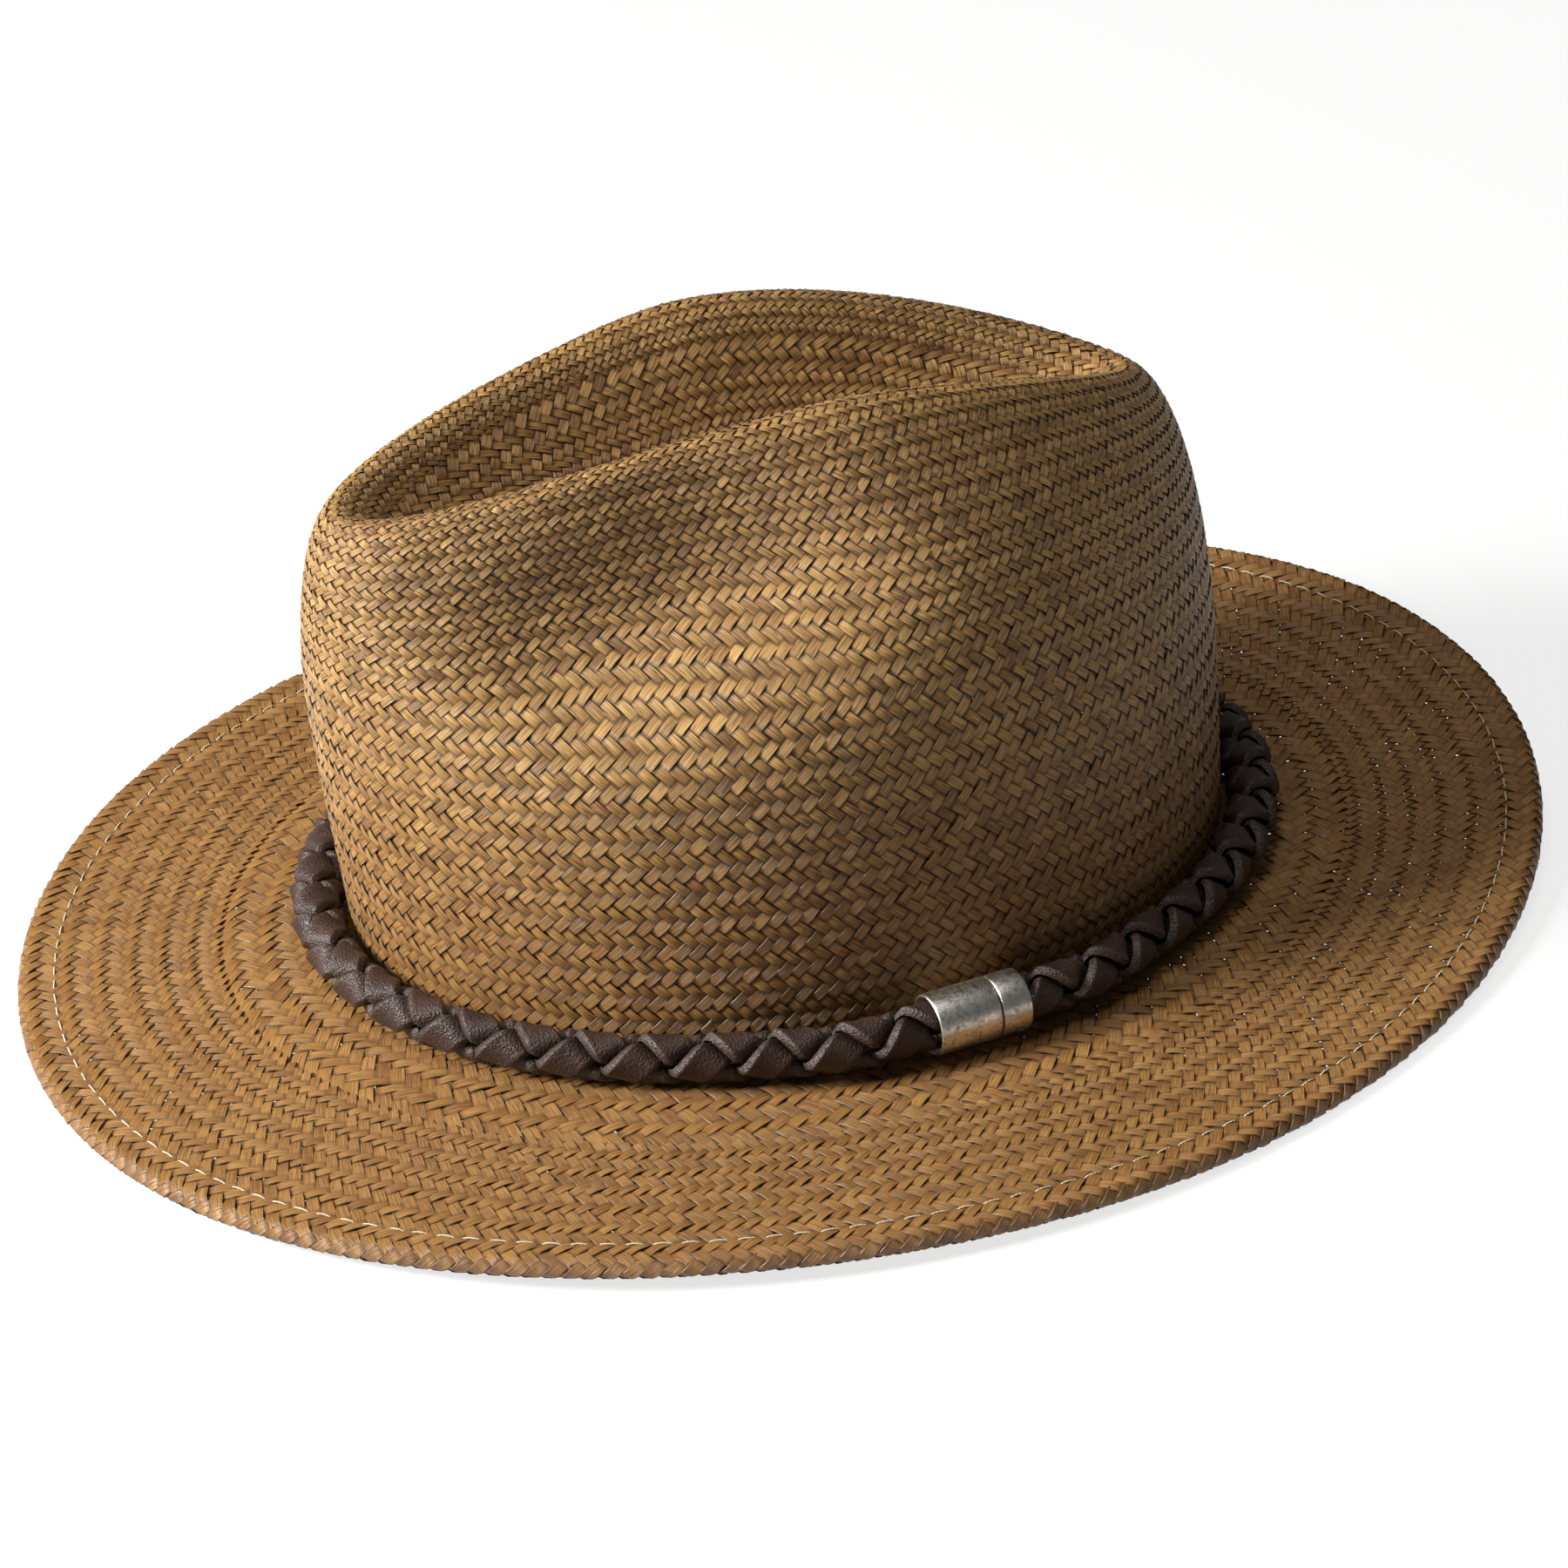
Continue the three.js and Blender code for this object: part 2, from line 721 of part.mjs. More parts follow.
const strawBody = new THREE.Group();
strawBody.add(
  mesh("straw_crown", crownGeometry(), wovenStraw),
  mesh("straw_brim", brimGeometry(), wovenStraw),
  mesh("brim_edge_wire", wireGeometry(), springWire),
  mesh("edge_needle_thread", needleThreadGeometry(), sewingThread),
  mesh("edge_bobbin_thread", bobbinThreadGeometry(), sewingThread),
);

const lining = new THREE.Group();
lining.add(
  mesh("sweatband", sweatbandGeometry(), sweatbandLeather),
  mesh("sweatband_reed", reedGeometry(), reedPlastic),
  mesh("sweatband_thread", sweatbandThreadGeometry(), sewingThread),
);

const bow = mesh("sweatband_bow", bowGeometry(), bowRibbon);
const bowDepth = strawThickness + sweatbandThickness + 2 * contactGap;
bow.position.copy(innerWallPoint(backAngle, bowHeight, bowDepth));
bow.position.y = innerWallPoint(backAngle, bowHeight + bowHalfHeight, bowDepth).y - bowThickness / 2;
bow.rotation.x = Math.PI / 2;
lining.add(bow);

// The clasp is drawn along its own +Y, which is laid along the band's centre line.
const clasp = new THREE.Group();
clasp.position.copy(claspMiddle);
clasp.quaternion.setFromUnitVectors(vector(0, 1, 0), claspAlong);
const socket = mesh("clasp_socket", socketGeometry(), antiqueSilver);
socket.position.y = socketMouth;
const socketMagnet = mesh("socket_magnet", magnetGeometry(), magnetNickel);
socketMagnet.position.y = socketMouth + socketCupDepth + claspWeb + magnetThickness / 2;
const plug = mesh("clasp_plug", plugGeometry(), antiqueSilver);
plug.position.y = partingPlane + contactGap;
const plugMagnet = mesh("plug_magnet", magnetGeometry(), magnetNickel);
plugMagnet.position.y = partingPlane + contactGap - spigotLength + magnetThickness / 2;
clasp.add(socket, socketMagnet, plug, plugMagnet);

const hatBand = new THREE.Group();
hatBand.add(mesh("braided_band", braidGeometry(), braidLeather), clasp);

const hat = new THREE.Group();
hat.add(strawBody, lining, hatBand);
hat.rotation.x = standingTilt();
hat.updateMatrixWorld(true);

// The origin is under the middle of the hat, on the surface that it stands on.
const reachBox = new THREE.Box3().setFromObject(hat, true);
hat.position.x = -(reachBox.min.x + reachBox.max.x) / 2;
hat.position.y = -(reachBox.min.y + reachBox.max.y) / 2;
hat.position.z = -reachBox.min.z;

const part = new THREE.Group();
part.add(hat);
part.updateMatrixWorld(true);

export default part;
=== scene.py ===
import json
import math

import bmesh
import bpy
import numpy as np
from mathutils import Matrix, Vector
from mathutils.bvhtree import BVHTree


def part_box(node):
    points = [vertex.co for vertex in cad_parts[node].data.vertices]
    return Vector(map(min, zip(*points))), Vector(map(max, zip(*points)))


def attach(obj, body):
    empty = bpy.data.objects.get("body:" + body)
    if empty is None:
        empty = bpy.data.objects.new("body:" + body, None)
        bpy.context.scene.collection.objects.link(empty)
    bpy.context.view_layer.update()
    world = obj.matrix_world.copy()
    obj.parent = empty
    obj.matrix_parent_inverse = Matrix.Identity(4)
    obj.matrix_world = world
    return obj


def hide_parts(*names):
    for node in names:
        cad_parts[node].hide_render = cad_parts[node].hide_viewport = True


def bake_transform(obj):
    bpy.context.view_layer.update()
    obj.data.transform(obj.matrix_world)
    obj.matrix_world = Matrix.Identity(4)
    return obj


# A hand-woven straw hat with a rolled, stitched brim edge, a leather sweatband and a loose
# braided band with a clasp. All lengths are in millimetres in the hat's own frame, which is
# level with its sweatband, until to_row() tilts the hat onto its brim and turns them to metres.

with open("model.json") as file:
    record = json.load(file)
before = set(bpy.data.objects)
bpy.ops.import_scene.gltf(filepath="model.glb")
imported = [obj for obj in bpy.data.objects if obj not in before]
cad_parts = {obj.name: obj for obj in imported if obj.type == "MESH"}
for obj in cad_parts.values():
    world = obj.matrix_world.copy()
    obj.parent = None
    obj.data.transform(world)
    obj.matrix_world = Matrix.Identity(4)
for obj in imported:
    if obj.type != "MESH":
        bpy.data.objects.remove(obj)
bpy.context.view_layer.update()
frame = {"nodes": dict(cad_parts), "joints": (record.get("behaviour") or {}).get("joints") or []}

MM = 0.001
TURN = 2 * math.pi
FRONT = -math.pi / 2
BACK = math.pi / 2
NEARLY_NOTHING = 1e-9

# Crown and brim
STRAW_THICKNESS = 1.2
CROWN_HALF_WIDTH = 83.7
CROWN_HALF_LENGTH = 103.0
RIDGE_HEIGHT = 128.0
RIDGE_FRONT_DROP = 12.0
RIDGE_BACK_DROP = 26.0
DROP_POWER = 1.7
PINCH_DEPTH = 19.5
PINCH_AHEAD = 53.0
PINCH_HEIGHT = 94.0
PINCH_REACH_FRONT = 46.0
PINCH_REACH_BACK = 51.0
PINCH_REACH_DOWN = 16.7
PINCH_REACH_UP = 26.0
PINCH_SLANT = 0.32
PINCH_LEAN = 0.8
PINCH_LONG_POWER = 3
PINCH_FADE_LEVEL_SHARE = 0.66
PINCH_FADE_RANGE_SHARE = 0.2
PINCH_ROOT_SHARE = 0.3
FLARE_RADIUS = 4.0
BRIM_HALF_WIDTH = 156.8
BRIM_HALF_LENGTH = 177.0
BRIM_SHIFT_BACK = -1.3
BRIM_DISH = 1.0
BRIM_CURL_POWER = 1.6
EDGE_DROP = 1.64
EDGE_PITCH_RISE = 6.25
EDGE_SIDE_DROP = 1.45
EDGE_CORNER_DROP = 2.32
BEAD_RADIUS = 2.1
CONTACT_GAP = 0.3
HEM_LENGTH = 8.5
HEM_KNEE = 2.5
HEM_THICKNESS = 0.8
HEM_STITCH_MARGIN = 2.4
REST_FLAT_DEPTH = 0.5
SIDE_REST_ANGLE = math.pi / 6
CAD_AROUND = 64

# Shares that draw the crown's control loops, from the flare over the ridge into the dent:
# width, ahead, behind, rise, front drop, back drop, and the power that draws a loop to a point.
CROWN_LOOP_SHARES = [
    (1.0, 1.0, 1.0, 0, 0, 0, 1.0),
    (1.0, 1.03, 1.0, 0.226, 0, 0, 1.0),
    (0.95, 1.07, 1.0, 0.492, 0.08, 0.04, 1.02),
    (0.79, 1.08, 0.98, 0.742, 0.25, 0.35, 1.08),
    (0.55, 1.05, 0.94, 0.927, 0.67, 0.85, 1.15),
    (0.405, 0.99, 0.875, 1.0, 1.0, 1.0, 1.2),
    (0.275, 0.89, 0.75, 0.952, 1.15, 1.0, 1.15),
    (0.14, 0.68, 0.48, 0.774, 0, 0.25, 1.0),
    (0.05, 0.3, 0.2, 0.742, 0, 0.1, 1.0),
    (0, 0.05, -0.05, 0.742, 0, 0, 1.0),
]
CROWN_SPANS = len(CROWN_LOOP_SHARES) - 1

# A course says how far along the straw sheet a place is: from the dent's middle over the ridge
# to the foot of the wall, then one unit each for the flare, the brim, the rolled edge and the hem.
FLARE_COURSE = CROWN_SPANS
BRIM_COURSE = FLARE_COURSE + 1
BEAD_COURSE = BRIM_COURSE + 1
HEM_COURSE = BEAD_COURSE + 1
LAST_COURSE = HEM_COURSE + 1


def unit(vectors):
    """Vectors of length one."""
    lengths = np.linalg.norm(vectors, axis=-1, keepdims=True)
    return vectors / np.maximum(lengths, NEARLY_NOTHING)


def stack(*parts):
    """Points from their x, y and z, spread to one shape."""
    return np.stack(np.broadcast_arrays(*parts), -1)


# Shape of the straw sheet

def crown_loop(shares, angle):
    """A closed loop of the crown at some angles, drawn from a row of CROWN_LOOP_SHARES."""
    width, ahead, behind, rise, front, back, point = shares
    across = np.cos(angle)
    along = np.sin(angle)
    x = width * CROWN_HALF_WIDTH * np.sign(across) * np.abs(across) ** point
    y = ((behind - ahead) / 2 + (behind + ahead) / 2 * along) * CROWN_HALF_LENGTH
    z = FLARE_RADIUS + (RIDGE_HEIGHT - FLARE_RADIUS) * rise
    front_drop = front * RIDGE_FRONT_DROP * np.clip(-along, 0, 1) ** DROP_POWER
    back_drop = back * RIDGE_BACK_DROP * np.clip(along, 0, 1) ** DROP_POWER
    return stack(x, y, z - front_drop - back_drop)


def crown_points(angle, course):
    """The crown's outer face: a smooth spline through the control loops, with its pinches."""
    angle, course = np.broadcast_arrays(angle, course)
    level = 1 - np.clip(course, 0, CROWN_SPANS) / CROWN_SPANS
    place = level * CROWN_SPANS
    start = np.minimum(np.floor(place).astype(int), CROWN_SPANS - 1)
    u = (place - start)[..., None]
    loops = np.stack([crown_loop(shares, angle) for shares in CROWN_LOOP_SHARES])
    before = 2 * loops[:1] - loops[1:2]
    after = 2 * loops[-1:] - loops[-2:-1]
    loops = np.concatenate([before, loops, after])
    weights = [
        (1 - u) ** 3 / 6,
        (3 * u**3 - 6 * u**2 + 4) / 6,
        (-3 * u**3 + 3 * u**2 + 3 * u + 1) / 6,
        u**3 / 6,
    ]
    points = 0
    for i, weight in enumerate(weights):
        loop = np.take_along_axis(loops, (start + i)[None, ..., None], axis=0)[0]
        points = points + weight * loop
    return pinched(points, level)


def pinched(points, level):
    """The two hollows that fingers press into the front of the crown."""
    x, y, z = np.moveaxis(points, -1, 0)
    behind = y + PINCH_AHEAD
    above = z - PINCH_HEIGHT
    long = behind + PINCH_LEAN * above
    high = above - PINCH_SLANT * behind
    long_share = np.abs(long) / np.where(long < 0, PINCH_REACH_FRONT, PINCH_REACH_BACK)
    high_share = high / np.where(high < 0, PINCH_REACH_DOWN, PINCH_REACH_UP)
    fade = np.clip((PINCH_FADE_LEVEL_SHARE - level) / PINCH_FADE_RANGE_SHARE, 0, 1)
    root = np.clip(np.abs(x) / (PINCH_ROOT_SHARE * CROWN_HALF_WIDTH), 0, 1)
    hollow = np.exp(-(long_share**PINCH_LONG_POWER) - high_share**2)
    return stack(x - np.sign(x) * PINCH_DEPTH * hollow * fade * root, y, z)


def edge_points(angle):
    """The outer limb of the rolled edge."""
    pitch = EDGE_PITCH_RISE * np.sin(angle)
    sides = EDGE_SIDE_DROP * np.cos(2 * angle)
    corners = EDGE_CORNER_DROP * np.sin(3 * angle)
    x = BRIM_HALF_WIDTH * np.cos(angle)
    y = BRIM_HALF_LENGTH * np.sin(angle) + BRIM_SHIFT_BACK
    return stack(x, y, pitch - EDGE_DROP - sides - corners)


class BrimRay:
    """How the brim lies at each angle: the way out from the crown, and where its bead is."""

    def __init__(self, angle):
        self.start = stack(CROWN_HALF_WIDTH * np.cos(angle), CROWN_HALF_LENGTH * np.sin(angle), 0)
        edge = edge_points(angle)
        out = (edge - self.start) * [1, 1, 0]
        self.bead_reach = np.linalg.norm(out, axis=-1) - BEAD_RADIUS
        self.bead_height = edge[..., 2]
        self.out = unit(out)

    def at(self, reach, height):
        """The points at a reach along the rays, at a height."""
        points = self.start + self.out * np.asarray(reach)[..., None]
        return stack(points[..., 0], points[..., 1], height)

    def top(self, reach):
        """The height of the brim's upper face."""
        share = np.clip((reach - FLARE_RADIUS) / (self.bead_reach - FLARE_RADIUS), 0, 1)
        rise = (self.bead_height + BEAD_RADIUS) * share**BRIM_CURL_POWER
        return rise - 4 * BRIM_DISH * share * (1 - share)


def flare_points(angle, share):
    """The flare between crown and brim, from the crown's foot at 0 to the brim at 1."""
    turn = share * math.pi / 2
    reach = FLARE_RADIUS - FLARE_RADIUS * np.cos(turn)
    height = FLARE_RADIUS - FLARE_RADIUS * np.sin(turn)
    return BrimRay(angle).at(reach, height)


def brim_points(angle, share):
    """The brim's upper face, from the flare at 0 to the rolled edge at 1."""
    ray = BrimRay(angle)
    reach = FLARE_RADIUS + (ray.bead_reach - FLARE_RADIUS) * share
    return ray.at(reach, ray.top(reach))


def bead_points(angle, share):
    """The rolled edge, from its top at 0 round the outside to its underside at 1."""
    ray = BrimRay(angle)
    turn = math.pi * (1 / 2 - share)
    height = ray.bead_height + BEAD_RADIUS * np.sin(turn)
    return ray.at(ray.bead_reach + BEAD_RADIUS * np.cos(turn), height)


def hem_points(angle, share):
    """The lower face of the hem, which is folded back under the brim."""
    ray = BrimRay(angle)
    back = HEM_LENGTH * share
    reach = ray.bead_reach - back
    layers = STRAW_THICKNESS + CONTACT_GAP + HEM_THICKNESS
    knee = np.clip(back / HEM_KNEE, 0, 1)
    knee = knee**2 * (3 - 2 * knee)
    low = ray.bead_height - BEAD_RADIUS
    return ray.at(reach, low + (ray.top(reach) - layers - low) * knee)


def sheet_points(angle, course):
    """The face of the straw sheet that is seen, from the dent's middle to the end of the hem."""
    angle, course = np.broadcast_arrays(angle, course)
    points = crown_points(angle, course)
    stretches = [
        (FLARE_COURSE, flare_points),
        (BRIM_COURSE, brim_points),
        (BEAD_COURSE, bead_points),
        (HEM_COURSE, hem_points),
    ]
    for start, make in stretches:
        beyond = (course > start)[..., None]
        points = np.where(beyond, make(angle, np.clip(course - start, 0, 1)), points)
    return points


# How the hat stands: tilted until the front of its brim and two places behind the middle touch

def standing_tilt():
    """The tilt that brings the front and two places behind the middle to one level."""
    front = edge_points(FRONT)
    side = edge_points(SIDE_REST_ANGLE)
    return -math.atan2(side[2] - front[2], side[1] - front[1])


def standing_shift():
    """The shift that sets the tilted hat on the floor, with its box's middle at zero."""
    limb = edge_points(np.arange(CAD_AROUND) * TURN / CAD_AROUND) @ TILT.T
    under = bead_points(np.arange(CAD_AROUND) * TURN / CAD_AROUND, 1) @ TILT.T
    middle = (limb[:, 1].min() + limb[:, 1].max()) / 2
    return np.array([0, -middle, -under[:, 2].min() - REST_FLAT_DEPTH])


TILT = np.array(Matrix.Rotation(standing_tilt(), 3, "X"))
SHIFT = standing_shift()


def to_row(points):
    """Points from the hat's own frame, in millimetres, to where the hat stands, in metres."""
    return (np.asarray(points) @ TILT.T + SHIFT) * MM


# Camera, at the photograph's viewing angle

CAMERA_AZIMUTH = math.radians(62)
CAMERA_ELEVATION = math.radians(29.33)
CAMERA_ROLL = math.radians(-2.97)
CAMERA_DISTANCE = 1200.0
IMAGE_SIZE = 1800
FOCAL_PIXELS = 6068.14
IMAGE_CENTRE = (907.15, 982.76)
SENSOR_WIDTH = 36.0


def make_camera():
    """The camera that the photograph was fitted with."""
    data = bpy.data.cameras.new("photo_camera")
    data.sensor_width = SENSOR_WIDTH
    data.lens = SENSOR_WIDTH * FOCAL_PIXELS / IMAGE_SIZE
    data.shift_x = 1 / 2 - IMAGE_CENTRE[0] / IMAGE_SIZE
    data.shift_y = IMAGE_CENTRE[1] / IMAGE_SIZE - 1 / 2
    level = math.cos(CAMERA_ELEVATION)
    back = np.array([
        math.sin(CAMERA_AZIMUTH) * level,
        -math.cos(CAMERA_AZIMUTH) * level,
        math.sin(CAMERA_ELEVATION),
    ])
    right = unit(np.cross(-back, [0, 0, 1]))
    up = np.cross(back, right)
    rolled_right = right * math.cos(CAMERA_ROLL) + up * math.sin(CAMERA_ROLL)
    rolled_up = up * math.cos(CAMERA_ROLL) - right * math.sin(CAMERA_ROLL)
    axes = TILT @ np.stack([rolled_right, rolled_up, back], axis=1)
    place = Matrix(axes.tolist()).to_4x4()
    place.translation = Vector(to_row(back * CAMERA_DISTANCE))
    camera = bpy.data.objects.new("photo_camera", data)
    camera.matrix_world = place
    bpy.context.scene.collection.objects.link(camera)
    bpy.context.scene.camera = camera


make_camera()


# Nodes, meshes and materials in general

MATH = "ShaderNodeMath"
VECTOR_MATH = "ShaderNodeVectorMath"
COMBINE = "ShaderNodeCombineXYZ"
SEPARATE = "ShaderNodeSeparateXYZ"
RANGE = "ShaderNodeMapRange"   # inputs: value, from least, from most, to least, to most
MIX = "ShaderNodeMix"
NOISE = "ShaderNodeTexNoise"   # its scale is in cells per metre, so 2 / MM is two a millimetre
BUMP = "ShaderNodeBump"
CARRIED = "GeometryNodeInputNamedAttribute"


def enabled(sockets, name):
    """A socket by its place, or the first one of that name that the node's settings use."""
    if isinstance(name, int):
        return sockets[name]
    return next(s for s in sockets if s.enabled and s.name == name)


def feed(tree, node, inputs):
    """Gives each input, in their order or by name, a value or another node's output."""
    for name, value in inputs.items() if isinstance(inputs, dict) else enumerate(inputs):
        socket = enabled(node.inputs, name)
        if isinstance(value, bpy.types.NodeSocket):
            tree.links.new(value, socket)
        else:
            socket.default_value = value


def add_node(tree, kind, inputs=(), output=0, **settings):
    """Adds a node with its settings and links. Gives one of its outputs, if it has any."""
    node = tree.nodes.new(kind)
    for name, value in settings.items():
        setattr(node, name, value)
    feed(tree, node, inputs)
    return enabled(node.outputs, output) if node.outputs else node


def linear(hex_code):
    """A colour from its sRGB hex value."""
    shares = [int(hex_code[i:i + 2], 16) / 255 for i in (1, 3, 5)]
    turned = [c / 12.92 if c <= 0.04045 else ((c + 0.055) / 1.055) ** 2.4 for c in shares]
    return (*turned, 1)


def new_material(name):
    """An empty node material, its tree, its shader and its Object coordinates."""
    made = bpy.data.materials.new(name)
    made.use_nodes = True
    tree = made.node_tree
    place = add_node(tree, "ShaderNodeTexCoord", output="Object")
    return made, tree, tree.nodes["Principled BSDF"], place


def layered(tree, first, layers):
    """A colour with others laid over it, each by its own share."""
    colour = linear(first)
    for share, above in layers:
        inputs = {"Factor": share, "A": colour, "B": linear(above)}
        colour = add_node(tree, MIX, inputs, "Result", data_type="RGBA")
    return colour


def give(data, name, values, kind="FLOAT"):
    """Stores a number or a vector at each point of a mesh."""
    layer = data.attributes.new(name, kind, "POINT")
    field = "vector" if kind == "FLOAT_VECTOR" else "value"
    layer.data.foreach_set(field, np.asarray(values, np.float32).ravel())


def new_object(name, data):
    """An object for some data, in the scene."""
    made = bpy.data.objects.new(name, data)
    bpy.context.scene.collection.objects.link(made)
    return made


def line_object(name, lines):
    """A mesh of edges only, from polylines that carry their numbers at each point."""
    counts = [len(line["points"]) for line in lines]
    starts = np.cumsum([0, *counts[:-1]])
    edges = [
        np.stack([np.arange(n - 1), np.arange(1, n)], 1) + start
        for n, start in zip(counts, starts)
    ]
    closing = [
        [[start + n - 1, start]]
        for n, start, line in zip(counts, starts, lines)
        if line.get("closed")
    ]
    points = to_row(np.concatenate([line["points"] for line in lines]))
    edges = np.concatenate(edges + closing)
    data = bpy.data.meshes.new(name)
    data.vertices.add(len(points))
    data.vertices.foreach_set("co", points.astype(np.float32).ravel())
    data.edges.add(len(edges))
    data.edges.foreach_set("vertices", edges.astype(np.int32).ravel())
    outward = np.concatenate([line["outward"] for line in lines]) @ TILT.T
    give(data, "outward", outward, "FLOAT_VECTOR")
    for key in lines[0]["numbers"]:
        give(data, key, np.concatenate([line["numbers"][key] for line in lines]))
    data.update()
    return new_object(name, data)


def plain_mesh(piece):
    """Turns a piece with live modifiers into a plain mesh."""
    graph = bpy.context.evaluated_depsgraph_get()
    made = bpy.data.meshes.new_from_object(piece.evaluated_get(graph), depsgraph=graph)
    piece.modifiers.clear()
    old = piece.data
    piece.data = made
    bpy.data.meshes.remove(old)
    made.name = piece.name
    return piece


def run_nodes(piece, tree, **sizes):
    """Runs a Geometry Nodes tree on a piece. Underscores in a size's name stand for spaces."""
    modifier = piece.modifiers.new("build", "NODES")
    modifier.node_group = tree
    sockets = {
        item.name: item.identifier
        for item in tree.interface.items_tree
        if item.item_type == "SOCKET" and item.in_out == "INPUT"
    }
    for name, value in sizes.items():
        modifier[sockets[name.replace("_", " ")]] = value
    return plain_mesh(piece)


def new_tree(name, sizes):
    """A Geometry Nodes tree with a geometry input and named inputs for its sizes."""
    tree = bpy.data.node_groups.new(name, "GeometryNodeTree")
    tree.interface.new_socket("Geometry", in_out="INPUT", socket_type="NodeSocketGeometry")
    for size, kind in sizes.items():
        tree.interface.new_socket(size, in_out="INPUT", socket_type=kind)
    tree.interface.new_socket("Geometry", in_out="OUTPUT", socket_type="NodeSocketGeometry")
    return tree, add_node(tree, "NodeGroupInput").node.outputs


def end_tree(tree, geometry, material):
    """Realizes the instances, sets the material and ends the tree."""
    real = add_node(tree, "GeometryNodeRealizeInstances", {"Geometry": geometry})
    finished = add_node(tree, "GeometryNodeSetMaterial", {"Geometry": real, "Material": material})
    add_node(tree, "NodeGroupOutput", (finished,))


# Woven straw

STRAW_DEPTH = 0.6             # of the weave's middle surface below the sheet's outer face
STRAW_LIFT = 0.31             # of a straw above or below the middle surface
STRAW_FLATNESS_SHARE = 0.15   # a straw's half thickness over its half width
STRAW_SIDES = 6
STRAW_SHOULDER_POWER = 0.17   # spreads the section's top, so that a straw is a flat strip
STRAW_TILT = 0.12             # most that a straw's flat face leans, from float to float
LIFT_SHARES = [0.78, 1.22, 0.78, 0, -0.78, -1.22, -0.78, 0]    # at and between the crossings
WIDTH_SHARES = [1.0, 1.0, 1.0, 0.98, 1.0, 1.0, 1.0, 0.98]
SAMPLES_PER_ROW = 4
CROWN_ROW_SHARE = 0.9         # a row's height over the straws' spacing
BRIM_ROW_SHARE = 1.0
FILL_SHARE = 1.02             # a straw's width over the pitch of its family
COURSE_TABLE_STEPS = 520
ANGLE_TABLE_STEPS = 720
FIRST_COURSE = 0.05
DIP_ROWS = 1.2                # over which a straw dives where another zone takes over
DIP_DEPTH = 0.9
FRAME_STEP = 1 / 8            # of the straws' spacing, for the slopes of the weave
STRAW_DRIFT = 0.035           # of a straw from its even place, in shares of their spacing
STRAW_WANDER = 0.04
WANDER_SAMPLES = 24
LIFT_RANGE = (0.82, 1.08)
WIDTH_SPREAD = 0.03
SPARE_FLOATS = 3
STRAW_LENGTH_STEP = 500       # sets each straw's fibres apart from the others'
SHOULDER_TOLERANCE = 0.03     # of the half width, within which an edge of the sweep is sharp


def weave_tables():
    """How the rings of the sheet are divided evenly, and how many rows lie up to each course."""
    courses = np.linspace(FIRST_COURSE, LAST_COURSE, COURSE_TABLE_STEPS + 1)
    angles = FRONT + np.linspace(0, TURN, ANGLE_TABLE_STEPS + 1)
    rings = sheet_points(angles[None, :], courses[:, None])
    steps = np.linalg.norm(np.diff(rings, axis=1), axis=-1)
    walked = np.concatenate([np.zeros((len(courses), 1)), np.cumsum(steps, axis=1)], axis=1)
    rounds = walked[:, -1]
    even = [np.interp(angles - FRONT, w / w[-1] * TURN, angles) for w in walked]
    side = sheet_points(0.0, courses)
    down = np.linalg.norm(np.diff(side, axis=0), axis=-1)
    middle = (courses[1:] + courses[:-1]) / 2
    row_share = np.where(middle < FLARE_COURSE, CROWN_ROW_SHARE, BRIM_ROW_SHARE)
    rows = np.cumsum(down / (row_share * (rounds[1:] + rounds[:-1]) / 2))
    return courses, np.array(even), np.concatenate([[0], rows])


COURSES, EVEN_ANGLES, ROWS_PER_STRAW = weave_tables()


def true_angle(around, course):
    """The angle at which a ring, divided evenly by its length, has gone so far around."""
    turns = np.floor((around - FRONT) / TURN)
    column = (around - FRONT - turns * TURN) / TURN * ANGLE_TABLE_STEPS
    row = (course - FIRST_COURSE) / (LAST_COURSE - FIRST_COURSE) * COURSE_TABLE_STEPS
    row = np.clip(row, 0, COURSE_TABLE_STEPS - NEARLY_NOTHING)
    j = np.minimum(column.astype(int), ANGLE_TABLE_STEPS - 1)
    i = np.minimum(row.astype(int), COURSE_TABLE_STEPS - 1)
    s = column - j
    t = row - i
    upper = EVEN_ANGLES[i, j] * (1 - s) + EVEN_ANGLES[i, j + 1] * s
    lower = EVEN_ANGLES[i + 1, j] * (1 - s) + EVEN_ANGLES[i + 1, j + 1] * s
    return upper * (1 - t) + lower * t + turns * TURN


def rows_at(course):
    """The rows up to a course, for each straw that is laid round."""
    return np.interp(course, COURSES, ROWS_PER_STRAW)


def weave_point(around, row, count):
    """A point of the sheet by its place around and its row, where count straws are laid."""
    course = np.interp(row / count, ROWS_PER_STRAW, COURSES)
    return sheet_points(true_angle(around, course), course)


def weave_frame(around, row, count, lean):
    """Points in the weave's middle surface, their outward normals and the straws' pitch."""
    around_step = FRAME_STEP * TURN / count
    row_step = FRAME_STEP
    ahead = weave_point(around + around_step, row, count)
    behind = weave_point(around - around_step, row, count)
    below = weave_point(around, row + row_step, count)
    above = weave_point(around, row - row_step, count)
    along = (below - above) / (2 * row_step)
    aside = (ahead - behind) / (2 * around_step) * TURN / count
    outward = unit(np.cross(along, aside))
    way = along - lean * aside
    pitch = np.linalg.norm(np.cross(way, aside), axis=-1) / np.linalg.norm(way, axis=-1)
    return weave_point(around, row, count) - STRAW_DEPTH * outward, outward, pitch


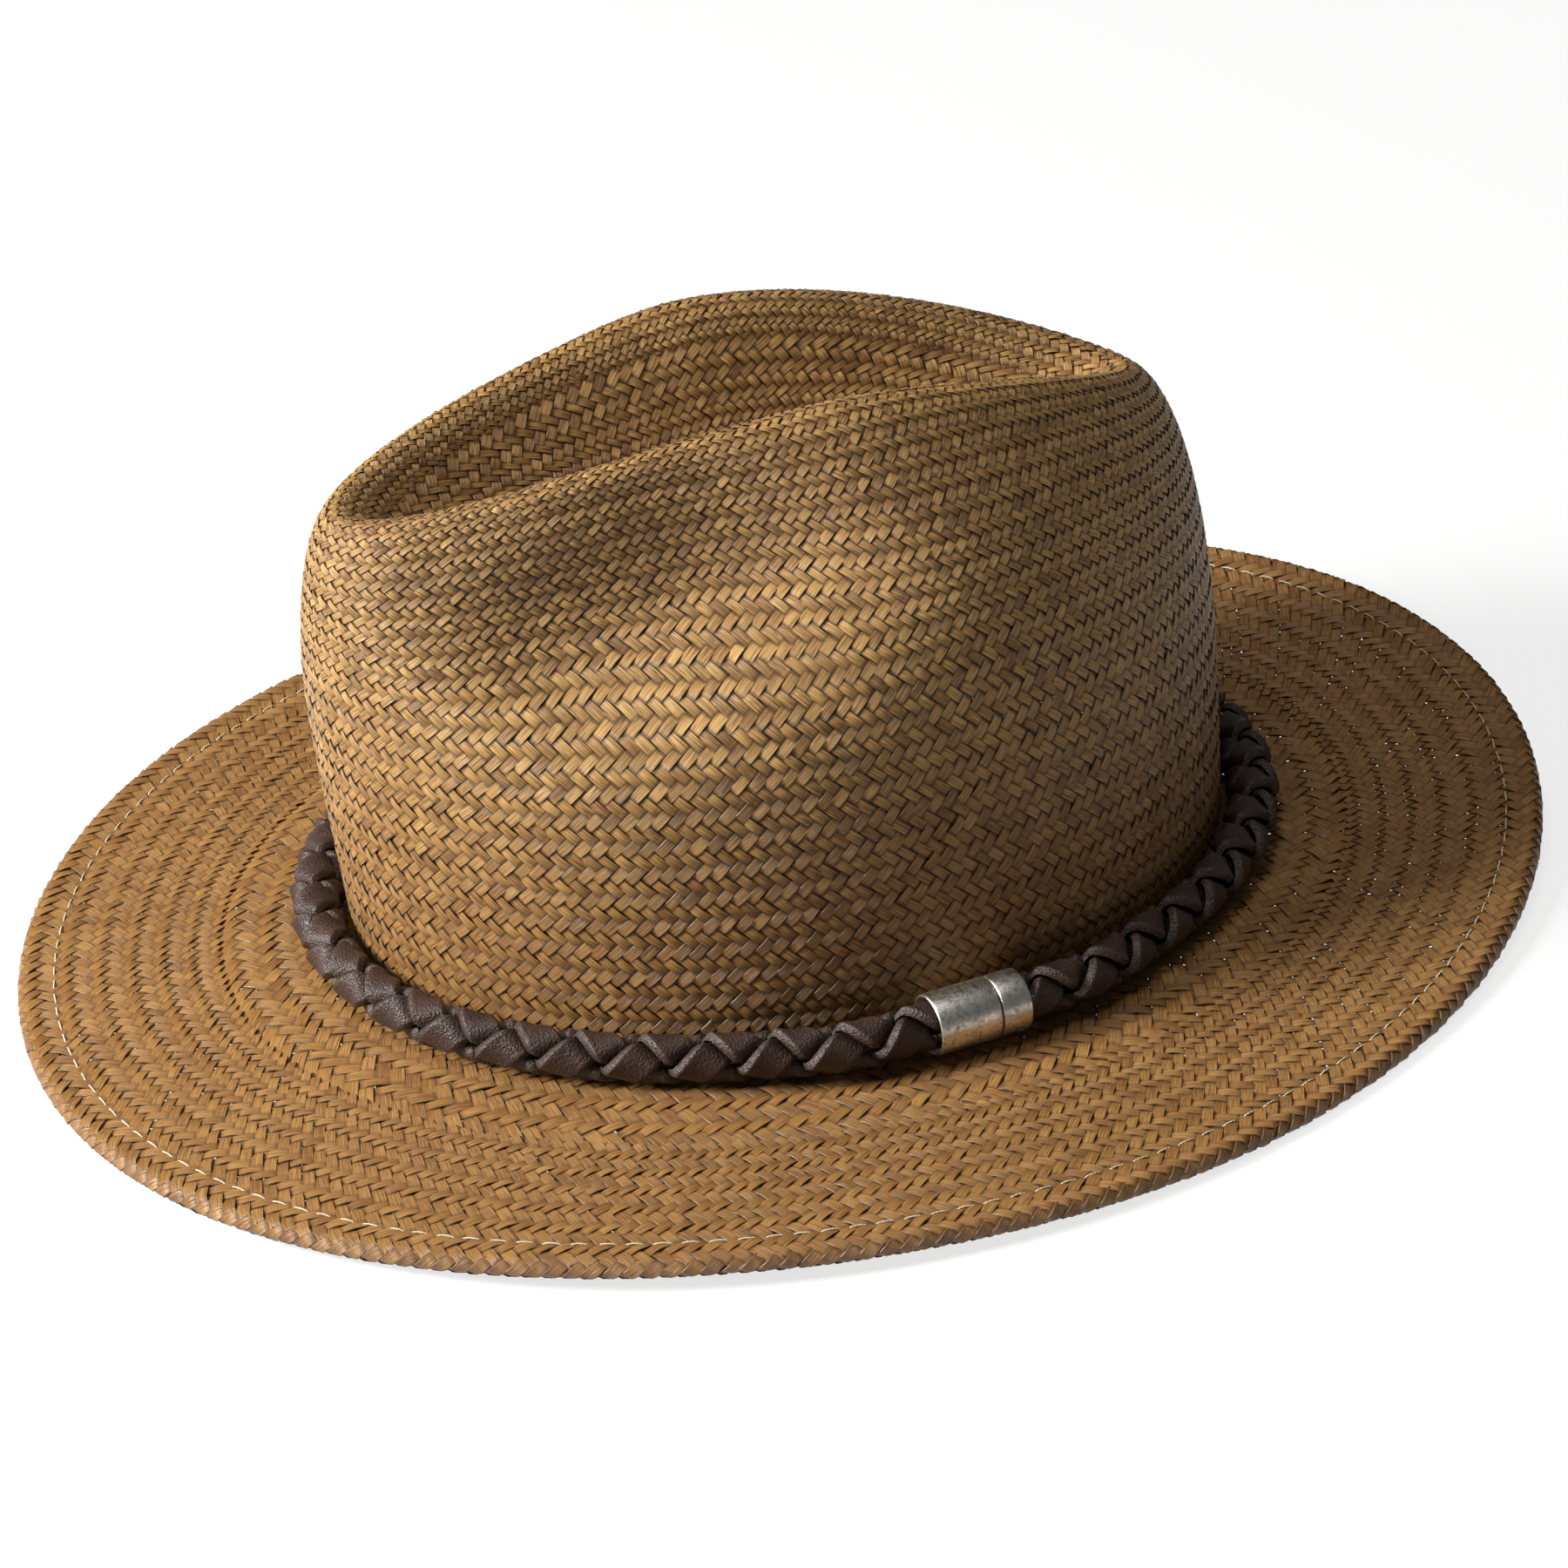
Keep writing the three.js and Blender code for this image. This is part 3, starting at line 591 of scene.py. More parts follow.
def dip_shares(zone, sample):
    """How far a straw has dived under other straws, at the ends where its zone gives way."""
    rows = (sample - sample[0]) / SAMPLES_PER_ROW
    dip = np.zeros(len(sample))
    if zone["dip_start"]:
        dip = np.maximum(dip, 1 - rows / DIP_ROWS)
    if zone["dip_end"]:
        dip = np.maximum(dip, 1 - rows[::-1] / DIP_ROWS)
    return dip


def zone_samples(zone):
    """The numbers of the places along a straw that lie within a zone of the weave."""
    count = zone["count"]
    shift = zone["row_shift"]
    first = math.ceil((rows_at(zone["start"]) * count - shift) * SAMPLES_PER_ROW)
    last = math.floor((rows_at(zone["end"]) * count - shift) * SAMPLES_PER_ROW)
    return np.arange(first, last + 1)


def straws_of_zone(zone, lean, random):
    """The straws of one family in a zone of the weave, as polylines. Lean 1 rises to the right."""
    count = zone["count"]
    shift = zone["row_shift"]
    sample = zone_samples(zone)
    row = sample[None, :] / SAMPLES_PER_ROW + shift
    straw = np.arange(count)[:, None]
    drift = random.normal(0, STRAW_DRIFT, (count, 1)) + smooth_drift(count, len(sample), random)
    around = lean * TURN * (straw + drift - (row - shift)) / count
    points, outward, pitch = weave_frame(around, row, count, lean)
    turn = sample % len(LIFT_SHARES)
    rise = lean * np.take(LIFT_SHARES, turn)
    lift = STRAW_LIFT * rise * random.uniform(*LIFT_RANGE, points.shape[:2])
    width = np.take(WIDTH_SHARES, turn) * FILL_SHARE * pitch
    width = width * (1 + random.normal(0, WIDTH_SPREAD, (count, 1)))
    dip = dip_shares(zone, sample)
    lift = lift * (1 - dip) - DIP_DEPTH * dip
    steps = np.linalg.norm(np.diff(points, axis=1), axis=-1)
    along = np.concatenate([np.zeros((count, 1)), np.cumsum(steps, axis=1)], axis=1)
    tone = random.random(count)
    float_count = (sample[-1] - sample[0]) // SAMPLES_PER_ROW + SPARE_FLOATS
    float_tone = random.random((count, float_count))
    float_number = (sample + 1) // SAMPLES_PER_ROW - (sample[0] + 1) // SAMPLES_PER_ROW
    tilt = STRAW_TILT * random.uniform(-1, 1, (count, float_count))[:, float_number, None]
    aside = unit(np.cross(outward, np.gradient(points, axis=1)))
    outward = unit(outward + tilt * aside)
    lines = []
    for i in range(count):
        numbers = {
            "lift": lift[i] * MM,
            "half_width": width[i] / 2 * MM,
            "along": along[i] + STRAW_LENGTH_STEP * tone[i],
            "tone": np.full(len(sample), tone[i]),
            "float_tone": float_tone[i][float_number],
            "rise": rise,
        }
        lines.append({"points": points[i], "outward": outward[i], "numbers": numbers})
    return lines


def smooth_drift(count, samples, random):
    """Slow wandering of straws from their even places, in shares of their spacing."""
    knots = max(2, samples // WANDER_SAMPLES)
    wander = random.normal(0, STRAW_WANDER, (count, knots))
    places = np.linspace(0, knots - 1, samples)
    return np.stack([np.interp(places, np.arange(knots), w) for w in wander])


WEAVE_SEED = 7
BODY_COUNT = 168
BRIM_COUNT = 264
DENT_COUNT = 104
INCREASE_SHARE = 0.40      # of the brim's reach, where straws are added
ZONE_LAP_COURSE = 0.03
DENT_TOP_COURSE = 3.0
DENT_FLOOR_COURSE = 1.75
EDGE_ROW_COURSE = BEAD_COURSE + 0.5
ROW_MIDDLE = 1 / 4         # of a right-leaning row, in rows
INCREASE_COURSE = BRIM_COURSE + INCREASE_SHARE


def edge_row_shift():
    """The shift that puts the middle of a right-leaning row on the outside of the rolled edge."""
    row = rows_at(EDGE_ROW_COURSE) * BRIM_COUNT
    return (row - ROW_MIDDLE) % 2


# Each zone of the weave: how many straws a family has there, from where to where they run, whether
# they dive under others at its ends, and into how many pieces a family is parted.
ZONES = {
    "dent": {
        "count": DENT_COUNT,
        "start": DENT_FLOOR_COURSE,
        "end": DENT_TOP_COURSE + 3 * ZONE_LAP_COURSE,
        "row_shift": 0,
        "dip_start": True,
        "dip_end": False,
        "parts": 1,
    },
    "body": {
        "count": BODY_COUNT,
        "start": DENT_TOP_COURSE - 3 * ZONE_LAP_COURSE,
        "end": INCREASE_COURSE + ZONE_LAP_COURSE,
        "row_shift": 0,
        "dip_start": True,
        "dip_end": True,
        "parts": 3,
    },
    "brim": {
        "count": BRIM_COUNT,
        "start": INCREASE_COURSE - ZONE_LAP_COURSE,
        "end": LAST_COURSE,
        "row_shift": edge_row_shift(),
        "dip_start": False,
        "dip_end": False,
        "parts": 2,
    },
}


def straw_material():
    """Toquilla palm, split by hand, stained golden brown and woven. Each straw is a satin strip
    of fine parallel fibres with splits between them. Straws differ a little in tone. Painted
    shade darkens each straw's edges, as in the gaps between straws, and where it goes under
    others, less on the pressed brim. The colour is also darker low down."""
    made, tree, shader, place = new_material("woven_palm_straw")
    along, across, tone, float_tone, rise = (
        add_node(tree, "ShaderNodeAttribute", output="Fac", attribute_name=name)
        for name in ("along", "across", "tone", "float_tone", "rise")
    )

    def streaks(length, count, step, detail, roughness):
        """Noise drawn out along each straw, so many streaks to its half width. Length is in
        millimetres, and straws differ by a step of the noise for their tone."""
        drawn = add_node(tree, COMBINE, (
            add_node(tree, MATH, (along, length), operation="DIVIDE"),
            add_node(tree, MATH, (across, count), operation="MULTIPLY"),
            add_node(tree, MATH, (tone, step), operation="MULTIPLY"),
        ))
        inputs = {"Vector": drawn, "Scale": 1.0, "Detail": detail, "Roughness": roughness}
        return add_node(tree, NOISE, inputs)

    fibres = streaks(length=6.0, count=7.5, step=61.0, detail=2.0, roughness=0.6)
    split = streaks(length=16.0, count=3.0, step=23.0, detail=1.0, roughness=0.5)
    off_split = add_node(tree, MATH, (split, 0.5), operation="SUBTRACT")
    split_line = add_node(tree, MATH, (off_split,), operation="ABSOLUTE")
    splits = add_node(tree, RANGE, (split_line, 0.0, 0.022, 1.0, 0.0))
    stain = add_node(tree, NOISE,
                     {"Vector": place, "Scale": 0.022 / MM, "Detail": 3.0, "Roughness": 0.55})
    whole_tone = add_node(tree, MATH, (tone, 0.4), operation="MULTIPLY")
    part_tone = add_node(tree, MATH, (float_tone, 0.6), operation="MULTIPLY")
    height = add_node(tree, SEPARATE, (place,)).node.outputs[2]
    # painted shade: how strongly the shade painted at the straws' edges and where they go under
    # others shows, less on the pressed brim
    painted_shade_share = add_node(tree, RANGE, (height, 12 * MM, 30 * MM, 0.7, 1.0))
    side = add_node(tree, MATH, (across,), operation="ABSOLUTE")
    # painted shade: each straw's edges are darkened as the shade in the gaps between straws
    edge = add_node(tree, RANGE, (side, 0.82, 0.96, 0.0, 0.95))
    # painted shade: a straw is darkened where it dives under a crossing straw
    painted_tuck_shade = add_node(tree, RANGE, (rise, 0.1, 0.5, 0.75, 0.0))
    body = layered(tree, "#8b602a", [
        (add_node(tree, MATH, (whole_tone, part_tone), operation="ADD"), "#cea05a"),
        (add_node(tree, RANGE, (float_tone, 0.0, 0.16, 0.75, 0.0)), "#6f4720"),
        (add_node(tree, RANGE, (stain, 0.3, 0.7, 0.0, 0.35)), "#8a5a2b"),
        (add_node(tree, RANGE, (fibres, 0.5, 0.7, 0.0, 0.85)), "#dbb171"),
        (add_node(tree, RANGE, (fibres, 0.48, 0.3, 0.0, 0.85)), "#64411e"),
        (add_node(tree, MATH, (splits, 0.8), operation="MULTIPLY"), "#432a13"),
        # darker towards the bottom of the hat
        (add_node(tree, RANGE, (height, 15 * MM, 70 * MM, 0.55, 0.0)), "#7a4e22"),
        (add_node(tree, MATH, (edge, painted_shade_share), operation="MULTIPLY"), "#3a2411"),
        (add_node(tree, MATH, (painted_tuck_shade, painted_shade_share), operation="MULTIPLY"), "#4a2f15"),
    ])
    half_splits = add_node(tree, MATH, (splits, 0.5), operation="MULTIPLY")
    relief = add_node(tree, MATH, (fibres, half_splits), operation="SUBTRACT")
    feed(tree, shader, {
        "Base Color": body,
        "Roughness": add_node(tree, RANGE, (fibres, 0.3, 0.7, 0.55, 0.4)),
        "Specular IOR Level": 0.6,
        "Normal": add_node(tree, BUMP, {"Height": relief, "Distance": 0.14 * MM, "Strength": 1.0}),
    })
    return made


def straw_tree(material):
    """Sweeps a flat strip's section along each straw's line, lifted over and under the others."""
    sizes = {
        "Flatness": "NodeSocketFloat",
        "Shoulder Power": "NodeSocketFloat",
        "Sides": "NodeSocketInt",
    }
    tree, given = new_tree("straw_strips", sizes)
    lift, half_width, across = (
        add_node(tree, CARRIED, {"Name": name}, "Attribute", data_type="FLOAT")
        for name in ("lift", "half_width", "across")
    )
    outward = add_node(tree, CARRIED, {"Name": "outward"}, "Attribute", data_type="FLOAT_VECTOR")
    offset = add_node(tree, VECTOR_MATH, {0: outward, "Scale": lift}, operation="SCALE")
    lifted = add_node(tree, "GeometryNodeSetPosition",
                      {"Geometry": given["Geometry"], "Offset": offset})
    curves = add_node(tree, "GeometryNodeMeshToCurve", {"Mesh": lifted})
    turned = add_node(tree, "GeometryNodeSetCurveNormal",
                      {"Curve": curves, "Normal": outward}, mode="FREE")
    ring = add_node(tree, "GeometryNodeCurvePrimitiveCircle",
                    {"Resolution": given["Sides"], "Radius": 1.0})
    upright = add_node(tree, "GeometryNodeTransform",
                       {"Geometry": ring, "Rotation": (0, 0, math.pi / 2)})
    flat = add_node(tree, COMBINE, (given["Flatness"], 1.0, 1.0))
    lens = add_node(tree, "GeometryNodeTransform", {"Geometry": upright, "Scale": flat})
    x, y, z = add_node(tree, SEPARATE, (add_node(tree, "GeometryNodeInputPosition"),)).node.outputs
    sign = add_node(tree, MATH, (y,), operation="SIGN")
    size = add_node(tree, MATH, (y,), operation="ABSOLUTE")
    spread = add_node(tree, MATH, (size, given["Shoulder Power"]), operation="POWER")
    wide = add_node(tree, MATH, (sign, spread), operation="MULTIPLY")
    section = add_node(tree, "GeometryNodeSetPosition",
                       {"Geometry": lens, "Position": add_node(tree, COMBINE, (x, wide, 0.0))})
    marked = add_node(tree, "GeometryNodeStoreNamedAttribute",
                      {"Geometry": section, "Name": "across", "Value": y},
                      data_type="FLOAT", domain="POINT")
    swept = add_node(tree, "GeometryNodeCurveToMesh", {
        "Curve": turned,
        "Profile Curve": marked,
        "Scale": half_width,
        "Fill Caps": True,
    })
    above = add_node(tree, MATH, (z, 0.0), operation="MAXIMUM")
    pressed = add_node(tree, "GeometryNodeSetPosition",
                       {"Geometry": swept, "Position": add_node(tree, COMBINE, (x, y, above))})
    smooth = add_node(tree, "GeometryNodeSetShadeSmooth", {"Geometry": pressed})
    side = add_node(tree, MATH, (across,), operation="ABSOLUTE")
    shoulder = add_node(tree, MATH, (0.5, given["Shoulder Power"]), operation="POWER")
    crease = add_node(tree, MATH, (side, shoulder, SHOULDER_TOLERANCE), operation="COMPARE")
    sharp = add_node(tree, "GeometryNodeSetShadeSmooth",
                     {"Geometry": smooth, "Selection": crease, "Shade Smooth": False},
                     domain="EDGE")
    end_tree(tree, sharp, material)
    return tree


def make_straw(name, lines, tree):
    """One piece of woven straw from its straws' lines."""
    piece = line_object(name, lines)
    run_nodes(piece, tree, Flatness=STRAW_FLATNESS_SHARE, Shoulder_Power=STRAW_SHOULDER_POWER,
              Sides=STRAW_SIDES)
    for spare in ("outward", "lift", "half_width"):
        if spare in piece.data.attributes:
            piece.data.attributes.remove(piece.data.attributes[spare])
    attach(piece, "hat")
    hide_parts("straw_crown", "straw_brim")
    return piece


PATCH_PITCH = 2.3
PATCH_STEP = PATCH_PITCH / 2
PATCH_COURSE = DENT_FLOOR_COURSE + 0.12
PATCH_FLOOR_COURSE = DENT_FLOOR_COURSE + 0.5
PATCH_ROWS = 40
PATCH_COLUMNS = 160
PATCH_REACH_SHARE = 1.2       # of the crown's half length, over which straws are tried
PATCH_LEAST_SAMPLES = 4


def dent_floor():
    """The floor of the dent as a surface to drop straws on, and the course of each of its faces."""
    courses = np.linspace(FIRST_COURSE, PATCH_FLOOR_COURSE, PATCH_ROWS)
    angles = np.arange(PATCH_COLUMNS) * TURN / PATCH_COLUMNS
    points = sheet_points(angles[None, :], courses[:, None]).reshape(-1, 3)
    middle = len(points)
    points = np.concatenate([points, points[:PATCH_COLUMNS].mean(axis=0, keepdims=True)])
    faces = []
    face_courses = []
    for j in range(PATCH_COLUMNS):
        k = (j + 1) % PATCH_COLUMNS
        faces.append((middle, j, k))
        face_courses.append(0.0)
    for i in range(PATCH_ROWS - 1):
        for j in range(PATCH_COLUMNS):
            k = (j + 1) % PATCH_COLUMNS
            low = i * PATCH_COLUMNS
            high = low + PATCH_COLUMNS
            faces.append((low + j, high + j, high + k, low + k))
            face_courses.append(courses[i])
    return BVHTree.FromPolygons(points.tolist(), faces), face_courses, points


def dropped(floor, face_courses, centre, aside, samples, lean):
    """Where one straight straw lies on the floor of the dent: its samples, places and normals."""
    found = []
    for k in samples:
        ahead = k * PATCH_STEP
        x = centre[0] + lean * (aside - ahead) / math.sqrt(2)
        y = centre[1] + (aside + ahead) / math.sqrt(2)
        start = Vector((x, y, 2 * RIDGE_HEIGHT))
        hit, normal, face, _ = floor.ray_cast(start, Vector((0, 0, -1)))
        if hit is None or face_courses[face] > PATCH_COURSE:
            continue
        if normal.z < 0:
            normal.negate()
        found.append((k, hit, normal))
    return [np.array(column) for column in zip(*found)]


def patch_lines(lean, random):
    """Straight straws over the floor of the dent, woven square as the start of the crown is."""
    floor, face_courses, points = dent_floor()
    reach = int(CROWN_HALF_LENGTH * PATCH_REACH_SHARE / PATCH_STEP)
    samples = np.arange(-reach, reach + 1)
    lines = []
    for i in range(-reach // 2, reach // 2 + 1):
        tone = random.random()
        float_tones = random.random(len(samples))
        found = dropped(floor, face_courses, points[-1], i * PATCH_PITCH, samples, lean)
        if not found or len(found[0]) < PATCH_LEAST_SAMPLES:
            continue
        k, places, outward = found
        turn = k + 2 * i
        rise = lean * np.take(LIFT_SHARES, turn % len(LIFT_SHARES))
        numbers = {
            "lift": STRAW_LIFT * rise * MM,
            "half_width": np.full(len(k), FILL_SHARE * PATCH_PITCH / 2 * MM),
            "along": (k - k[0]) * PATCH_STEP + STRAW_LENGTH_STEP * tone,
            "tone": np.full(len(k), tone),
            "float_tone": float_tones[(turn + 1) // SAMPLES_PER_ROW % len(samples)],
            "rise": rise,
        }
        place = places - STRAW_DEPTH * outward
        lines.append({"points": place, "outward": outward, "numbers": numbers})
    return lines


def weave_hat():
    """All the straw: both families in each zone, and the square start of the crown."""
    random = np.random.default_rng(WEAVE_SEED)
    tree = straw_tree(straw_material())
    for zone_name, zone in ZONES.items():
        for lean, side in ((1, "right"), (-1, "left")):
            lines = straws_of_zone(zone, lean, random)
            if zone_name == "dent":
                lines += patch_lines(lean, random)
            size = math.ceil(len(lines) / zone["parts"])
            for part in range(zone["parts"]):
                name = f"straw_{zone_name}_{side}_{part + 1}"
                make_straw(name, lines[part * size:(part + 1) * size], tree)


weave_hat()


# Tubes, cords and stitches in general

NORMAL_STEP = 0.01             # in courses and in radians
STITCH_SIDES = 8
STITCH_HANDLE_SHARE = 0.9      # how full a stitch's arc is
STITCH_SWING = 0.05            # most that a stitch points aside, as a slope
THREAD_TWIST = 0.7             # of the thread's length, for one turn of its strands
THREAD_PLIES = 2


def superellipse(count, power):
    """Points round a rounded rectangle of half size one."""
    turn = (np.arange(count) + 1 / 2) * TURN / count
    u = np.sign(np.cos(turn)) * np.abs(np.cos(turn)) ** (2 / power)
    v = np.sign(np.sin(turn)) * np.abs(np.sin(turn)) ** (2 / power)
    return u, v


def ring_faces(rings, ring, closed):
    """The faces of a tube of rings. A tube that isn't closed gets a cap at each end."""
    faces = []
    for i in range(rings if closed else rings - 1):
        here = i * ring
        there = (i + 1) % rings * ring
        for j in range(ring):
            k = (j + 1) % ring
            faces.append((here + j, here + k, there + k, there + j))
    if not closed:
        last = (rings - 1) * ring
        faces.append(tuple(range(ring))[::-1])
        faces.append(tuple(range(last, last + ring)))
    return faces


def face_outwards(data, merge_distance=0):
    """Turns a closed mesh's faces outwards, after points within a distance are merged."""
    mesh = bmesh.new()
    mesh.from_mesh(data)
    if merge_distance:
        bmesh.ops.remove_doubles(mesh, verts=mesh.verts, dist=merge_distance)
    bmesh.ops.recalc_face_normals(mesh, faces=mesh.faces)
    mesh.to_mesh(data)
    mesh.free()


def tube_object(name, points, closed, material, numbers=None):
    """A closed body from rings of points. Its numbers are for each point of a ring, or for all."""
    rings, ring = points.shape[:2]
    data = bpy.data.meshes.new(name)
    placed = to_row(points.reshape(-1, 3))
    data.from_pydata(placed.tolist(), [], ring_faces(rings, ring, closed))
    face_outwards(data)
    for key, values in (numbers or {}).items():
        give(data, key, np.broadcast_to(values, (rings, ring)))
    data.shade_smooth()
    data.materials.append(material)
    return new_object(name, data)


def sheet_normals(angle, course):
    """The way out of the straw sheet."""
    step = NORMAL_STEP
    along = sheet_points(angle, course + step) - sheet_points(angle, course - step)
    aside = sheet_points(angle + step, course) - sheet_points(angle - step, course)
    return unit(np.cross(along, aside))


def stitch_tree(material):
    """Lays a row of stitches along a line. Each is a short thread that dives in at both ends."""
    sizes = {
        "Pitch": "NodeSocketFloat",
        "Stitch Length": "NodeSocketFloat",
        "Thread Radius": "NodeSocketFloat",
        "Dive": "NodeSocketFloat",
        "Seed": "NodeSocketInt",
    }
    tree, given = new_tree("stitch_row", sizes)
    curve = add_node(tree, "GeometryNodeMeshToCurve", {"Mesh": given["Geometry"]})
    points = add_node(tree, "GeometryNodeResampleCurve",
                      {"Curve": curve, "Length": given["Pitch"]}, mode="LENGTH")
    radius = given["Thread Radius"]
    low = add_node(tree, MATH, (given["Dive"], -1.0), operation="MULTIPLY")
    half = add_node(tree, MATH, (given["Stitch Length"], 0.5), operation="MULTIPLY")
    bends = {}
    for name, share, height in (
        ("Start", -1.0, low),
        ("Start Handle", -STITCH_HANDLE_SHARE, radius),
        ("End Handle", STITCH_HANDLE_SHARE, radius),
        ("End", 1.0, low),
    ):
        way = add_node(tree, MATH, (half, share), operation="MULTIPLY")
        bends[name] = add_node(tree, COMBINE, (way, 0.0, height))
    arc = add_node(tree, "GeometryNodeCurvePrimitiveBezierSegment",
                   {"Resolution": STITCH_SIDES, **bends})
    ring = add_node(tree, "GeometryNodeCurvePrimitiveCircle",
                    {"Resolution": STITCH_SIDES, "Radius": radius})
    spline = add_node(tree, "GeometryNodeSplineParameter").node.outputs
    marked, turn = (
        add_node(tree, "GeometryNodeStoreNamedAttribute",
                 {"Geometry": line, "Name": name, "Value": value},
                 data_type="FLOAT", domain="POINT")
        for line, name, value in (
            (arc, "along", spline["Length"]),
            (ring, "around", spline["Factor"]),
        )
    )
    thread = add_node(tree, "GeometryNodeCurveToMesh",
                      {"Curve": marked, "Profile Curve": turn, "Fill Caps": True})
    outward = add_node(tree, CARRIED, {"Name": "outward"}, "Attribute", data_type="FLOAT_VECTOR")
    upright = add_node(tree, "FunctionNodeAlignRotationToVector", {"Vector": outward}, axis="Z")
    tangent = add_node(tree, "GeometryNodeInputTangent")
    swing = add_node(tree, "FunctionNodeRandomValue", {
        "Min": (-STITCH_SWING,) * 3,
        "Max": (STITCH_SWING,) * 3,
        "Seed": given["Seed"],
    }, data_type="FLOAT_VECTOR")
    heading = add_node(tree, VECTOR_MATH, (tangent, swing), operation="ADD")
    rotation = add_node(tree, "FunctionNodeAlignRotationToVector",
                        {"Rotation": upright, "Vector": heading}, axis="X", pivot_axis="Z")
    row = add_node(tree, "GeometryNodeInstanceOnPoints",
                   {"Points": points, "Instance": thread, "Rotation": rotation})
    end_tree(tree, add_node(tree, "GeometryNodeSetShadeSmooth", {"Geometry": row}), material)
    return tree


def thread_material():
    """Twisted polyester-cotton sewing thread, off-white and matt, with its twist as fine ridges."""
    made, tree, shader, place = new_material("twisted_sewing_thread")
    turns = []
    for name, rate in (("along", TURN / (THREAD_TWIST * MM)), ("around", THREAD_PLIES * TURN)):
        carried = add_node(tree, "ShaderNodeAttribute", output="Fac", attribute_name=name)
        turns.append(add_node(tree, MATH, (carried, rate), operation="MULTIPLY"))
    turned = add_node(tree, MATH, turns, operation="ADD")
    twist = add_node(tree, MATH, (turned,), operation="SINE")
    fuzz = add_node(tree, NOISE, {"Vector": place, "Scale": 4 / MM, "Detail": 3.0})
    colour = layered(tree, "#c9b996", [
        # painted shade: the thread is lighter on the ridges of its twist and darker in the grooves
        # between strands
        (add_node(tree, RANGE, (twist, -1.0, 1.0, 0.0, 1.0)), "#efe5ca"),
        (add_node(tree, RANGE, (fuzz, 0.35, 0.7, 0.0, 0.4)), "#a98d5e"),
    ])
    feed(tree, shader, {
        "Base Color": colour,
        "Roughness": 0.8,
        "Specular IOR Level": 0.3,
        "Sheen Weight": 0.3,
        "Normal": add_node(tree, BUMP, {"Height": twist, "Distance": 0.05 * MM, "Strength": 0.7}),
    })
    return made


STITCH_SEED = 3
STITCH_DIVE_SHARE = 3          # of the thread's radius, at a stitch's ends
NEEDLE_PITCH = 5.7
NEEDLE_STITCH = 4.0
NEEDLE_RADIUS = 0.18
NEEDLE_RISE = -0.1
BAND_STITCH_PITCH = 3.4
BAND_STITCH = 2.6
BAND_STITCH_RADIUS = 0.18
STITCH_POINTS = 480


def ring_angles(count):
    """Even angles once round, without the last."""
    return np.arange(count) * TURN / count


def stitch_row(name, points, outward, tree, node, pitch, length, radius):
    """A closed row of stitches that lies on the hat."""
    lines = [{"points": points, "outward": outward, "numbers": {}, "closed": True}]
    piece = line_object(name, lines)
    run_nodes(piece, tree, Pitch=pitch * MM, Stitch_Length=length * MM,
              Thread_Radius=radius * MM, Dive=STITCH_DIVE_SHARE * radius * MM, Seed=STITCH_SEED)
    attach(piece, "hat")
    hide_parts(node)


def make_stitches():
    """The stitches along the turned brim edge, above and below, and those of the sweatband."""
    tree = stitch_tree(thread_material())
    angle = ring_angles(STITCH_POINTS)
    ray = BrimRay(angle)
    back = HEM_LENGTH - HEM_STITCH_MARGIN
    reach = ray.bead_reach - back
    above = ray.at(reach, ray.top(reach) + NEEDLE_RISE)
    share = (reach - FLARE_RADIUS) / (ray.bead_reach - FLARE_RADIUS)
    up = sheet_normals(angle, BRIM_COURSE + share)
    stitch_row("edge_needle_stitches", above, up, tree, "edge_needle_thread",
               NEEDLE_PITCH, NEEDLE_STITCH, NEEDLE_RADIUS)
    below = hem_points(angle, back / HEM_LENGTH)
    down = sheet_normals(angle, HEM_COURSE + back / HEM_LENGTH)
    stitch_row("edge_bobbin_stitches", below, down, tree, "edge_bobbin_thread",
               NEEDLE_PITCH, NEEDLE_STITCH, NEEDLE_RADIUS)
    height = SWEATBAND_LIFT + SWEATBAND_STITCH_RISE
    inner, inward = wall_points(angle, np.full((1, 1), height), SWEATBAND_INNER_DEPTH)
    stitch_row("sweatband_stitches", inner[:, 0], inward[:, 0], tree, "sweatband_thread",
               BAND_STITCH_PITCH, BAND_STITCH, BAND_STITCH_RADIUS)


# Sweatband, reed and bow

SWEATBAND_THICKNESS = 1.0
SWEATBAND_HEIGHT = 34.0
SWEATBAND_LIFT = 0.4
SWEATBAND_SEAM_GAP = 1.0
SWEATBAND_STITCH_RISE = 3.0
SWEATBAND_OUTER_DEPTH = STRAW_THICKNESS + CONTACT_GAP
SWEATBAND_INNER_DEPTH = SWEATBAND_OUTER_DEPTH + SWEATBAND_THICKNESS
SWEATBAND_AROUND = 288
SWEATBAND_FACE_POINTS = 30
CREASE_RISE = 27.0
CREASE_GAP = 1.6
CREASE_WIDTH = 0.35
CREASE_DEPTH = 0.16
SWEATBAND_EDGE_SHARE = 0.98    # of its thickness, that its edges are rounded by
STITCH_GROOVE_WIDTH = 0.8
STITCH_GROOVE_DEPTH = 0.25
REED_RADIUS = 1.1
REED_SIDES = 16
WALL_SEARCH_STEPS = 200
WALL_SEARCH_COURSES = 4.5
WALL_END_COURSE = FLARE_COURSE - 0.02
PEBBLE_SIZE = 0.55


